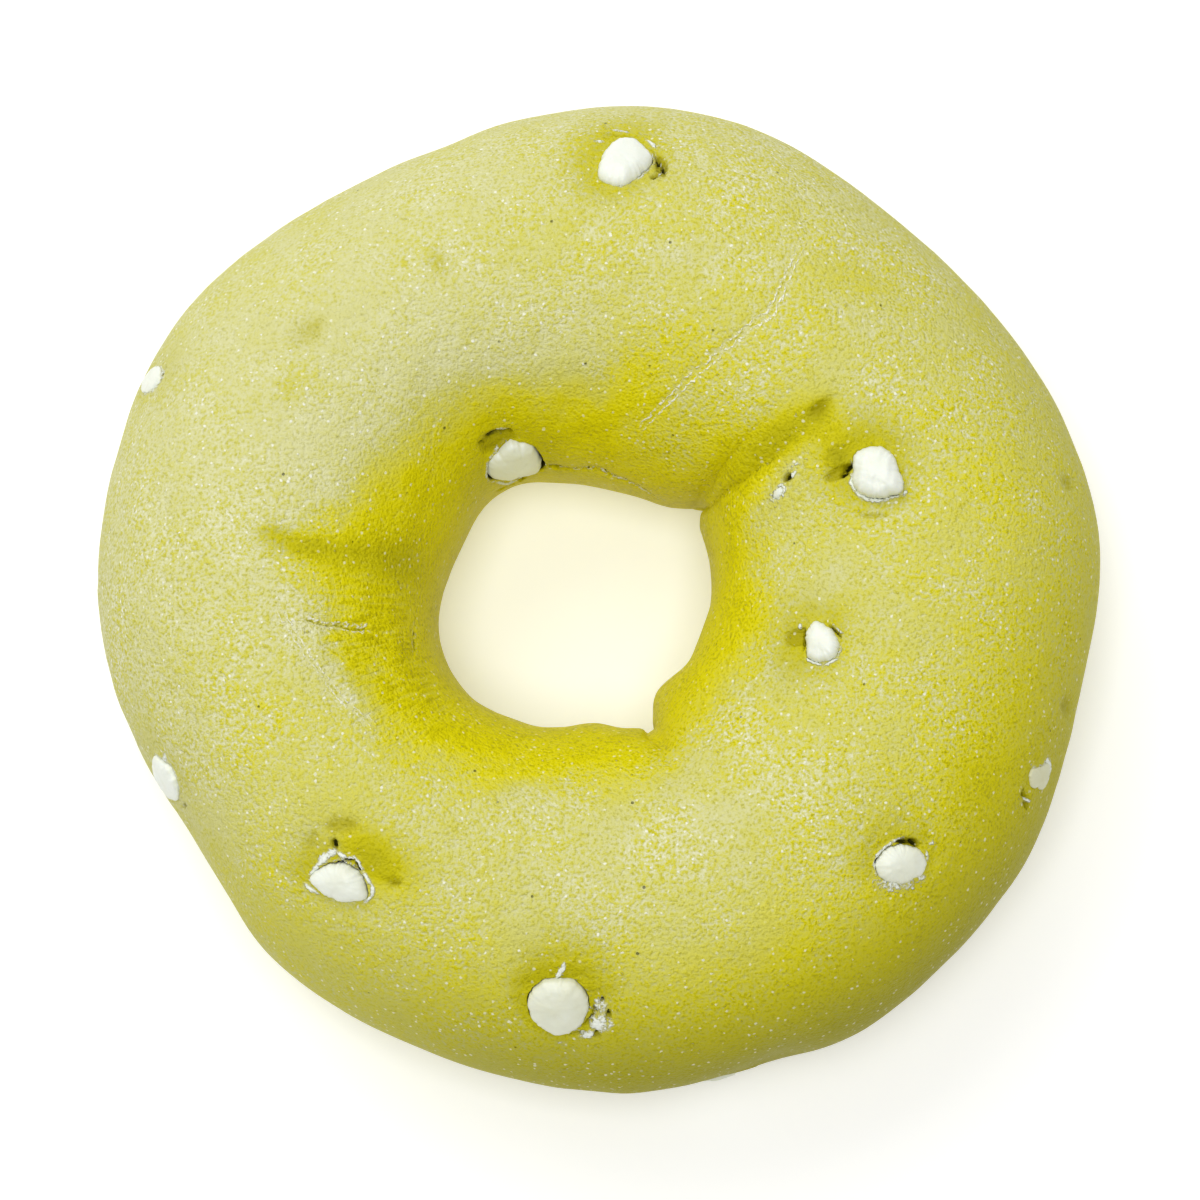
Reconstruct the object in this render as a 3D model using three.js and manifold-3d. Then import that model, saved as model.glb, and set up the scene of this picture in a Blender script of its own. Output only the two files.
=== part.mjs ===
// A bagel: one baked ring of pale green dough, lying on its flat underside, with white
// chocolate chips sunk part way into its skin. Millimetres, +Z up. The ring's plan is uneven,
// because it was rolled and joined by hand, and its hole has two pointed notches where the
// wrapped end of the rope meets the rest. Each chip is a blunt drop in a pocket of its own.

import * as THREE from 'three';
import { ParametricGeometry } from 'three/addons/geometries/ParametricGeometry.js';
import { mergeVertices } from 'three/addons/utils/BufferGeometryUtils.js';
import Module from 'manifold-3d';

const wasm = await Module();
wasm.setup();

// Section of the ring: heights above the surface that it lies on.
const CROWN_HEIGHT = 33.4; // on average
const WIDEST_HEIGHT = 15;
const SUNK_BELOW = 2; // how far the round section would dip below the flat underside
const UNDERSIDE_POWER = 0.8; // below 1 makes the lower shoulders squarer than a circle

// The crown rises and falls round the ring: waves in one turn, height and highest direction.
const CROWN_WAVES = [
  { count: 1, height: 0.7, highest: 130 },
  { count: 2, height: 0.5, highest: 20 },
  { count: 3, height: 0.3, highest: 75 },
];

// Plan of the ring at its widest height, as [direction in degrees, radius].
const OUTER_PLAN = [
  [8, 53.0], [46, 50.7], [77, 52.9], [118, 50.8], [150, 53.4], [185, 52.4],
  [209, 50.0], [225, 51.2], [255, 51.4], [303, 53.3], [325, 52.9], [347, 51.5],
];
const HOLE_PLAN = [
  [-6, 11.2], [20, 12.2], [60, 11.9], [85, 11.9], [107, 13.2], [128, 15.3], [162, 15.5],
  [193, 17.3], [216, 17.4], [240, 15.8], [264, 13.9], [285, 13.4], [312, 11.6], [335, 11.0],
];

// Where the wrapped end's edges cut into the wall of the hole.
const NOTCH_DEPTH = 2.3;
const NOTCH_SPREAD = 7; // degrees
const NOTCH_TURNS = [42, 290];
const NOTCH_FADE = 3; // how fast a notch dies away from the wall towards the crown

// Facets.
const RING_STEPS = 88;
const SECTION_STEPS = 26;
const CHIP_STEPS_ROUND = 12;
const CHIP_STEPS_HIGH = 8;
const MERGE_WITHIN = 1e-5; // vertices closer than this are one

// Chips.
const CHIP_GAP = 0.3; // between a chip and the wall of its pocket
const CHIP_TAPER = 0.16; // how much narrower the outer end is than the middle
const CHIP_SQUARENESS = 0.86; // below 1 flattens the sides and ends of the drop

// Each chip: turn is its direction round the ring, lean its place on the section, from 0 at
// the crown to 90 at the outermost line and -90 at the wall of the hole. Size is length,
// width and depth, twist turns it about the way out, and sink is how deep its middle lies.
const CHIPS = [
  { name: 'chip_top', turn: 86.5, lean: 30.5, size: [5.8, 5.5, 5.0], twist: 25, sink: 0.9 },
  { name: 'chip_hole_rim', turn: 124, lean: -76, size: [5.8, 5.2, 5.2], twist: 10, sink: 1.1 },
  { name: 'chip_right', turn: 18, lean: -8, size: [5.3, 5.0, 5.0], twist: 40, sink: 0.9 },
  { name: 'chip_inner_right', turn: 340.5, lean: -22, size: [4.5, 3.8, 4.2], twist: 75, sink: 0.9 },
  { name: 'chip_lower_right', turn: 315, lean: 29.5, size: [6.5, 5.1, 4.8], twist: 50, sink: 0.9 },
  { name: 'chip_right_side', turn: 335.5, lean: 63, size: [4.6, 3.8, 4.4], twist: 60, sink: 1.2 },
  { name: 'chip_bottom', turn: 264.5, lean: 38.5, size: [6.3, 6.2, 4.6], twist: 0, sink: 0.8 },
  { name: 'chip_lower_left', turn: 231, lean: 25.5, size: [6.2, 5.4, 5.2], twist: 70, sink: 0.9 },
  { name: 'chip_left_side_low', turn: 204.5, lean: 71.5, size: [5.6, 4.2, 5.0], twist: 15, sink: 0.7 },
  { name: 'chip_left_side_high', turn: 155.5, lean: 65, size: [4.6, 4.0, 4.6], twist: 80, sink: 1.1 },
  { name: 'chip_crumb_right', turn: 23.5, lean: -38, size: [2.6, 1.8, 2.0], twist: 30, sink: 0.4 },
  { name: 'chip_back_side', turn: 62, lean: 112, size: [5.8, 5.2, 4.8], twist: 35, sink: 1.2 },
  { name: 'chip_front_side', turn: 284, lean: 113, size: [5.6, 5.0, 4.8], twist: 5, sink: 1.2 },
  { name: 'chip_hole_wall', turn: 250, lean: -114, size: [5.2, 4.8, 4.6], twist: 55, sink: 1.2 },
];

// Finishes.
const DOUGH_FINISH = new THREE.MeshStandardMaterial({ color: '#d6d47c', roughness: 0.62, metalness: 0 });
const CHIP_FINISH = new THREE.MeshStandardMaterial({ color: '#f2f1e4', roughness: 0.42, metalness: 0 });

const UP = new THREE.Vector3(0, 0, 1);

// Radius of a closed plan in a direction: a smooth curve through its points, each with the
// slope of the line between its two neighbours.
function planRadius(plan, degrees) {
  const count = plan.length;
  const turned = THREE.MathUtils.euclideanModulo(degrees - plan[0][0], 360) + plan[0][0];
  let before = count - 1;
  while (plan[before][0] > turned) {
    before -= 1;
  }
  const at = (index) => {
    const laps = Math.floor(index / count);
    const point = plan[index - laps * count];
    return { direction: point[0] + 360 * laps, radius: point[1] };
  };
  const slope = (index) => {
    const rise = at(index + 1).radius - at(index - 1).radius;
    return rise / (at(index + 1).direction - at(index - 1).direction);
  };
  const from = at(before);
  const to = at(before + 1);
  const span = to.direction - from.direction;
  const t = (turned - from.direction) / span;
  const ease = t * t * (3 - 2 * t);
  const leave = t * (1 - t) * (1 - t) * span * slope(before);
  const arrive = t * t * (t - 1) * span * slope(before + 1);
  return from.radius * (1 - ease) + to.radius * ease + leave + arrive;
}

// How far the notches push the wall of the hole outwards in a direction.
function notchDepth(degrees) {
  let depth = 0;
  for (const notch of NOTCH_TURNS) {
    const away = Math.abs(THREE.MathUtils.euclideanModulo(degrees - notch + 180, 360) - 180);
    depth += NOTCH_DEPTH * Math.exp(-away / NOTCH_SPREAD);
  }
  return depth;
}

// Height of the crown in a direction.
function crownHeight(degrees) {
  let height = CROWN_HEIGHT;
  for (const wave of CROWN_WAVES) {
    height += wave.height * Math.cos(THREE.MathUtils.degToRad(wave.count * (degrees - wave.highest)));
  }
  return height;
}

// A point of the dough's skin. The section is half an ellipse above its widest height and a
// squarer half below, cut flat where it meets the surface that the ring lies on.
function skinPoint(turn, lean, target = new THREE.Vector3()) {
  const outer = planRadius(OUTER_PLAN, turn);
  const hole = planRadius(HOLE_PLAN, turn);
  const out = Math.sin(THREE.MathUtils.degToRad(lean));
  const up = Math.cos(THREE.MathUtils.degToRad(lean));
  const power = up < 0 ? UNDERSIDE_POWER : 1;
  const reach = Math.sign(out) * Math.abs(out) ** power;
  const rise = Math.sign(up) * Math.abs(up) ** power;
  const half = rise < 0 ? WIDEST_HEIGHT + SUNK_BELOW : crownHeight(turn) - WIDEST_HEIGHT;
  const inward = ((1 - out) / 2) ** NOTCH_FADE;
  const radius = (outer + hole) / 2 + ((outer - hole) / 2) * reach + notchDepth(turn) * inward;
  const angle = THREE.MathUtils.degToRad(turn);
  const height = Math.max(0, WIDEST_HEIGHT + half * rise);
  return target.set(radius * Math.cos(angle), radius * Math.sin(angle), height);
}

// The way out of the dough at a point of its skin, from two short steps along it.
function skinNormal(turn, lean) {
  const step = 0.5;
  const round = skinPoint(turn + step, lean).sub(skinPoint(turn - step, lean));
  const down = skinPoint(turn, lean + step).sub(skinPoint(turn, lean - step));
  return down.cross(round).normalize();
}

// The uncut dough: one section carried round the ring.
function ringGeometry() {
  const place = (u, v, target) => skinPoint(360 * u, 180 - 360 * v, target);
  return new ParametricGeometry(place, RING_STEPS, SECTION_STEPS);
}

// A blunt drop with its narrower end on +Z, grown on every side by a margin.
function dropGeometry([length, width, depth], margin = 0) {
  const drop = new THREE.SphereGeometry(1, CHIP_STEPS_ROUND, CHIP_STEPS_HIGH);
  drop.rotateX(Math.PI / 2);
  const points = drop.attributes.position;
  const point = new THREE.Vector3();
  for (let i = 0; i < points.count; i += 1) {
    point.fromBufferAttribute(points, i);
    for (const axis of ['x', 'y', 'z']) {
      point[axis] = Math.sign(point[axis]) * Math.abs(point[axis]) ** CHIP_SQUARENESS;
    }
    const narrow = 1 - CHIP_TAPER * point.z;
    point.x *= narrow * (length / 2 + margin);
    point.y *= narrow * (width / 2 + margin);
    point.z *= depth / 2 + margin;
    points.setXYZ(i, point.x, point.y, point.z);
  }
  return drop;
}

// A closed geometry as a solid that can be cut.
function solidOf(geometry) {
  const bare = geometry.clone();
  bare.deleteAttribute('normal');
  bare.deleteAttribute('uv');
  const closed = mergeVertices(bare, MERGE_WITHIN);
  const vertProperties = new Float32Array(closed.attributes.position.array);
  const triVerts = new Uint32Array(closed.index.array);
  return new wasm.Manifold(new wasm.Mesh({ numProp: 3, vertProperties, triVerts }));
}

// A cut solid as a geometry again.
function geometryOf(solid) {
  const mesh = solid.getMesh();
  const geometry = new THREE.BufferGeometry();
  geometry.setAttribute('position', new THREE.BufferAttribute(mesh.vertProperties, 3));
  geometry.setIndex(new THREE.BufferAttribute(mesh.triVerts, 1));
  geometry.computeVertexNormals();
  return geometry;
}

// A chip in its place, with its outer end pointing out of the dough.
function chipMesh({ name, turn, lean, size, twist, sink }) {
  const mesh = new THREE.Mesh(dropGeometry(size), CHIP_FINISH);
  const outward = skinNormal(turn, lean);
  mesh.name = name;
  mesh.position.copy(skinPoint(turn, lean)).addScaledVector(outward, -sink);
  mesh.quaternion.setFromUnitVectors(UP, outward);
  mesh.rotateZ(THREE.MathUtils.degToRad(twist));
  mesh.updateMatrix();
  return mesh;
}

// The dough with a pocket for every chip.
function doughMesh(chips) {
  let solid = solidOf(ringGeometry());
  chips.forEach((chip, index) => {
    const pocket = dropGeometry(CHIPS[index].size, CHIP_GAP).applyMatrix4(chip.matrix);
    solid = solid.subtract(solidOf(pocket));
  });
  const mesh = new THREE.Mesh(geometryOf(solid), DOUGH_FINISH);
  mesh.name = 'dough_ring';
  return mesh;
}

// The origin is the middle of the whole object's box, on the surface that it lies on.
function centred(group) {
  const box = new THREE.Box3().setFromObject(group, true);
  const middle = box.getCenter(new THREE.Vector3());
  group.position.set(-middle.x, -middle.y, -box.min.z);
  return group;
}

const chips = CHIPS.map(chipMesh);
const bagel = new THREE.Group();
bagel.name = 'bagel';
bagel.add(doughMesh(chips), ...chips);

export default centred(bagel);
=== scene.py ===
"""A green tea bagel with white chocolate chips, laid out as an add-on.

The dough is one closed skin, worked out from two angles: turn, the direction round the ring,
and lean, the place on its section, from 0 at the crown to 90 at the outermost line, -90 at
the wall of the hole and 180 under the ring. Round every chip the grid of the skin gives way
to a rosette of rings, fine enough for the torn lip and the pocket that the chip sits in.
"""

import math
from functools import partial

import bpy
import numpy as np
from bpy.props import FloatProperty, FloatVectorProperty, IntProperty, PointerProperty
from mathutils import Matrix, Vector


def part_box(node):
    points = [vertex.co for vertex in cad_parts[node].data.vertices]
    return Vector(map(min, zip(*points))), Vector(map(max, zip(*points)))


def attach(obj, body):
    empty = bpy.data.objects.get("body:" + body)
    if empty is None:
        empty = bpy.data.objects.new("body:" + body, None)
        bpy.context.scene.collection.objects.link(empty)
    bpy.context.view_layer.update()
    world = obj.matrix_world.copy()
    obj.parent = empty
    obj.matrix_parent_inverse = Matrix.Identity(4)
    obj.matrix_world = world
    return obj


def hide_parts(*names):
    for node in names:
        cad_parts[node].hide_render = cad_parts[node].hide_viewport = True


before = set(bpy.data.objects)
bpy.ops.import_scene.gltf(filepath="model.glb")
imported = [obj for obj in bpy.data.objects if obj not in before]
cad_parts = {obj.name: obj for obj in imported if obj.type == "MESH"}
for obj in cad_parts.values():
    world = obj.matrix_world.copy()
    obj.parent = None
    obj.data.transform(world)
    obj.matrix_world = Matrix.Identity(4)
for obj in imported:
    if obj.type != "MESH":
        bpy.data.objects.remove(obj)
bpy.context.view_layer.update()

FARTHEST_CHIP = 0.001  # m, how far the middle of a chip may be from that of the solid it replaces

bl_info = {
    "name": "Green Tea Bagel",
    "version": (1, 0, 0),
    "blender": (4, 5, 0),
    "location": "View3D > Sidebar > Bagel",
    "description": "A baked ring of green tea dough with white chocolate chips in its skin",
    "category": "Add Mesh",
}

MM = 0.001
DEGREE = math.pi / 180
LEAN_STEP = 0.33  # mm of skin for each degree of lean
NEAR_HOLE_RADIUS = 20  # mm, to compare lengths along a crease's path

# Plan of the ring at its widest height, as (direction in degrees, radius in mm).
OUTER_PLAN = (
    (8, 53.0), (46, 50.7), (77, 52.9), (118, 50.8), (150, 53.4), (185, 52.4),
    (209, 50.0), (225, 51.2), (255, 51.4), (303, 53.3), (325, 52.9), (347, 51.5),
)
HOLE_PLAN = (
    (-6, 11.2), (20, 12.2), (60, 11.9), (85, 11.9), (107, 13.2), (128, 15.3), (162, 15.5),
    (193, 17.3), (216, 17.4), (240, 15.8), (264, 13.9), (285, 13.4), (312, 11.6), (335, 11.0),
)

# Waves of the crown, as (waves in one turn, height in mm, highest direction).
CROWN_WAVES = ((1, 0.7, 130), (2, 0.5, 20), (3, 0.3, 75))

# Where the edges of the wrapped end cut into the wall of the hole.
NOTCH_TURNS = (42, 290)
NOTCH_SPREAD = 7  # degrees
NOTCH_FADE = 3  # power with which a notch fades towards the crown

SHOULDER = 0.3  # mm squared, how softly the skin meets the table

# Broad lumps left by rolling, as (turn, lean, reach round, reach across in mm, height in mm).
LUMPS = (
    (58, -22, 13, 11, 0.75), (20, -5, 14, 12, -0.35), (105, 20, 16, 13, 0.4), (150, 5, 15, 12, 0.3),
    (190, 25, 14, 14, -0.3), (222, -8, 13, 12, 0.3), (262, 5, 14, 13, -0.25),
    (300, 20, 15, 14, 0.35), (335, 30, 13, 13, -0.3), (80, -70, 9, 8, 0.35), (0, -60, 9, 9, 0.3),
    (219, 86, 6, 9, -0.8), (291, 86, 3.6, 6, -1.1), (165, 86, 8, 9, -0.45), (316, 86, 9, 9, -0.4),
    (40, 86, 14, 9, 0.35), (273, 86, 3, 6, 0.3), (246, 86, 8, 9, -0.3), (110, 86, 4, 8, -0.3),
    (359, -88, 2.2, 5, -0.5), (346, -88, 2.2, 5, -0.5), (333, -88, 1.8, 5, -0.4),
    (321, -88, 1.8, 5, -0.7), (300, -88, 2.0, 5, 0.8), (279, -88, 1.6, 5, -0.6),
    (249, -88, 2.8, 5, -0.6), (37, -88, 1.8, 5, 0.6), (141, -88, 2.5, 5, -0.35),
    (225, -88, 3, 5, -0.25), (285, 86, 5, 8, -0.6), (210, 86, 4, 8, -0.3),
)

# Small dents and hollows, as (turn, lean, reach round, reach across in mm, depth in mm).
DENTS = (
    (35.5, -13, 0.6, 1.4, 0.7), (141, 12, 2.4, 1.5, 0.22), (117.5, 8.5, 1.1, 1.4, 0.16),
    (345, 69, 1.0, 1.8, 0.6), (11.5, 57, 0.9, 1.5, 0.5), (237.5, 15.5, 0.8, 0.9, 0.35),
    (105, 16, 0.9, 3.2, 0.13), (92, 9, 0.8, 2.8, 0.12), (255.5, -9, 0.6, 2.4, 0.12),
    (8.5, 14, 0.5, 0.6, 0.25), (354.5, -33.5, 0.4, 0.4, 0.3),
    (8.5, -24, 1.3, 0.5, 0.16), (196, 40, 1.2, 1.6, 0.15), (60, 30, 1.4, 1.0, 0.14),
)

# Creases: a path as (turn, lean) points, half width and depth of the groove, half width and depth
# of the valley it lies in, a bank of raised dough beside it, strength of the dark crack (painted
# shade in the groove) and of the pale strands of torn skin along it, and where it starts and stops
# fading, as shares.
CREASES = (
    {
        "name": "fold",
        "path": ((42, -118), (40.5, -92), (34, -50), (32.5, -36), (33, -23), (35, -10)),
        "width": 0.32, "depth": 0.45, "valley": 2.4, "valley_depth": 0.75, "bank": 0.3,
        "crack": 0.3, "strand": 0.0, "ends": (0, 0.45),
    },
    {
        "name": "wrap edge",
        "path": ((291, -118), (290, -90), (288, -66), (293, -46), (300, -25)),
        "width": 0.35, "depth": 0.35, "valley": 2.0, "valley_depth": 0.3, "bank": -0.2,
        "crack": 0.1, "strand": 0.0, "ends": (0, 0.5),
    },
    {
        "name": "rim crack",
        "path": (
            (119, -83), (114, -78.3), (109, -78.4), (104, -79), (90, -76), (72, -81), (52, -91),
        ),
        "width": 0.2, "depth": 0.5, "valley": 1.1, "valley_depth": 0.15, "bank": 0.25, "crack": 1.0,
        "strand": 1.0, "ends": (0.02, 0.5),
    },
    {
        "name": "short crack",
        "path": ((191.5, -14), (193.3, -22), (193.8, -28), (195.2, -38)),
        "width": 0.16, "depth": 0.45, "valley": 0.7, "valley_depth": 0.15, "bank": 0.1,
        "crack": 0.4, "strand": 0.9, "ends": (0.1, 0.8),
    },
    {
        "name": "left streak",
        "path": ((174.5, -2), (177.5, -22), (177, -38), (176, -62)),
        "width": 0.4, "depth": 0.1, "valley": 1.7, "valley_depth": 0.22, "bank": 0.05, "crack": 0.0,
        "strand": 0.0, "ends": (0.1, 0.7),
    },
    {
        "name": "wrap line",
        "path": ((74.4, -53), (66, -35.8), (59.5, -16), (55.4, -2.2), (57.3, 12.8), (58.8, 28)),
        "width": 0.2, "depth": 0.08, "valley": 1.4, "valley_depth": 0.08, "bank": 0.14,
        "crack": 0.12, "strand": 1.0, "ends": (0.05, 0.65),
    },
    {
        "name": "left crinkle",
        "path": ((188, -6), (200, -13), (209, -16), (217, -21)),
        "width": 0.2, "depth": 0.1, "valley": 1.0, "valley_depth": 0.05, "bank": 0.1, "crack": 0.15,
        "strand": 0.8, "ends": (0.1, 0.8),
    },
    {
        "name": "wall nick",
        "path": ((193.7, -61), (203.6, -54.8)),
        "width": 0.2, "depth": 0.12, "valley": 0.6, "valley_depth": 0.05, "bank": 0.0, "crack": 0.6,
        "strand": 0.3, "ends": (0.1, 0.9),
    },
)

# How far the deep colour of the hole's wall climbs towards the crown, as (direction, lean).
WALL_COLOUR_EDGE = (
    (0, -46), (18, -50), (34, -32), (46, -33), (62, -39), (76, -32), (92, -41), (120, -39),
    (150, -37), (166, -28), (180, -18), (195, -25), (225, -23), (250, -33), (280, -38),
    (314, -46), (342, -38),
)
# How much of the deep colour the crown takes, and the outer flank, as (direction, share). On the
# flank it is highest on the side that faces away from the key lamp, partly bare crust and partly
# painted shade.
CROWN_COLOUR = (
    (0, 0.37), (30, 0.38), (60, 0.34), (90, 0.2), (150, 0.05), (180, 0.08), (210, 0.32),
    (240, 0.26), (275, 0.17), (320, 0.34), (345, 0.34),
)
FLANK_COLOUR = (
    (0, 0.6), (20, 0.4), (45, 0.22), (75, 0.12), (110, 0.03), (160, 0.04), (190, 0.08), (210, 0.18),
    (230, 0.38), (255, 0.62), (285, 0.85), (315, 0.95), (335, 0.88),
)

# How much painted shade darkens the outer flank to olive, strongest on the side that faces away
# from the key lamp, as (direction, share).
FLANK_PAINTED_SHADE = (
    (0, 0.3), (25, 0.15), (55, 0.05), (100, 0.0), (170, 0.0), (215, 0.1), (240, 0.35), (260, 0.75),
    (285, 1.0), (310, 1.0), (330, 0.75), (345, 0.5),
)

# How grainy the crust is, as (direction, strength).
GRAIN = (
    (0, 0.95), (40, 1.0), (60, 1.0), (90, 0.8), (120, 0.6), (160, 0.6), (178, 0.95), (200, 1.0),
    (215, 0.75), (245, 0.85), (290, 1.05), (330, 1.15),
)

# Patches of the skin's colour, as (turn, lean, reach round, reach across in mm, more of the deep
# colour, more of the baked olive). The olive is mostly painted shade: in the bands beside the fold,
# the left streak, the dents and the hollows beside the chips.
TINTS = (
    (37.5, -42, 1.8, 5, 0.7, 0.3), (36, -30, 1.7, 3.5, 0.8, 0.3), (35, -20, 1.8, 3.0, 0.7, 0.3),
    (35, -13, 0.9, 1.6, 0.8, 0.6), (30, -14, 1.6, 2.0, 0.6, 0.25), (24, -12, 1.6, 2.0, 0.6, 0.25),
    (25, -17, 1.2, 1.4, 0.5, 0.4), (70, -25, 5, 3.5, 0.3, 0.05), (60, -52, 4.5, 4, -0.35, 0),
    (12, 24, 6, 4, 0.15, 0), (330, 33, 3.5, 3, 0.25, 0.1), (42, 16, 4, 3, -0.2, 0),
    (186, -24, 3, 2.5, -0.2, 0), (358, -22, 6, 4, -0.15, 0), (33, 3, 4, 2.5, -0.15, 0),
    (120, -18, 8, 5, -0.1, 0), (300, -12, 8, 3, -0.1, 0), (192, -11, 3, 1.5, -0.3, 0),
    (201, -16, 3, 1.5, -0.35, 0), (209, -20, 3, 1.5, -0.3, 0), (175, -5, 0.9, 1.8, 0.6, 0.3),
    (177, -14, 1.2, 3.0, 0.8, 0.45), (178, -30, 1.6, 4, 0.4, 0.35), (177, -52, 2.4, 4.5, 0, 0.5),
    (203, -26, 4, 3, 0.3, 0.1), (342, -21, 3.4, 2.0, 0.5, 0.5), (150, 5, 2.2, 1.5, 0.2, 0.1),
    (118, 8, 1.2, 1.6, 0.3, 0.2), (141, 12, 2.0, 1.4, 0.25, 0.2), (76, 1.5, 2.0, 1.0, -0.3, 0),
    (69, 1, 1.0, 1.8, -0.3, 0), (48, 25, 4, 3, 0.15, 0.05), (233, 12, 4, 2.6, 1.1, 0.6),
    (21, -15, 2.4, 2.0, 0.35, 0.35), (18, -21, 2.5, 1.5, 0.2, 0.1), (140, 60, 20, 5, 0.1, 0),
    (225, 62, 7, 6, 0.15, 0),
)

# The grid of the skin: its lines across the ring and round it, and how much closer those across
# it stand near what is fine, as (turn, reach in degrees, gain).
TURN_LINES = 400
LEAN_LINES = 160
FINE_TURNS = (
    (36, 5, 1.5), (64, 7, 0.5), (118, 7, 0.4), (176, 4, 0.8), (194, 3, 1.2), (290, 4, 0.9),
    (18, 5, 0.5), (340, 5, 0.5), (315, 5, 0.4), (264, 5, 0.4), (231, 5, 0.4), (86, 5, 0.4),
)
COARSE_UNDER = 0.45  # how close lines stand on the underside, against 1 on the skin that shows

# Creases and the relief round the chips, in mm.
SEAM_REACH = 2.0  # past which the crust takes no notice of a crease
SEAM_FADES = (1.5, 0.9)  # from a crease, where its cracks and strands are gone and where whole
BANK_RISE = 1.2  # from a crease to the top of the bank on its far side
BANK_REACH = 4.5  # over which the bank dies away
DIP_REACH = 1.5  # of the shallow dip round a chip
LIP_TOP = 0.22  # from the edge of the pocket to the top of its lip
LIP_REACH = 0.24
POCKET_SPARE = 0.35  # that a pocket is deeper than its chip
POCKET_WALL = 0.16  # share of the outline's radius in which the wall drops
SMEAR_HEIGHT = 0.16  # of smeared chocolate over the skin

# Rings of a rosette: how many lie from its edge in to the lip, how they crowd towards it, and
# the rings down the wall of the pocket, as shares of the lip's radius.
RINGS_OUTSIDE = 19
RING_CROWDING = 1.6
RINGS_INSIDE = (0.985, 0.965, 0.94, 0.91, 0.85, 0.6, 0.3)
WIDEST_WINDOW = 60  # lines of the grid to each side of a chip that its window may reach

# The form of every chip.
CHIP_SEAT = -0.25  # mm, where the drop is widest, just under the skin
CHIP_SIDES = 0.72  # power that makes the sides steeper than a ball's
CHIP_CAP = 0.9  # power that shapes the cap and the foot
RIDGE_WAVE = 5.5  # radians per mm across the ridges
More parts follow.
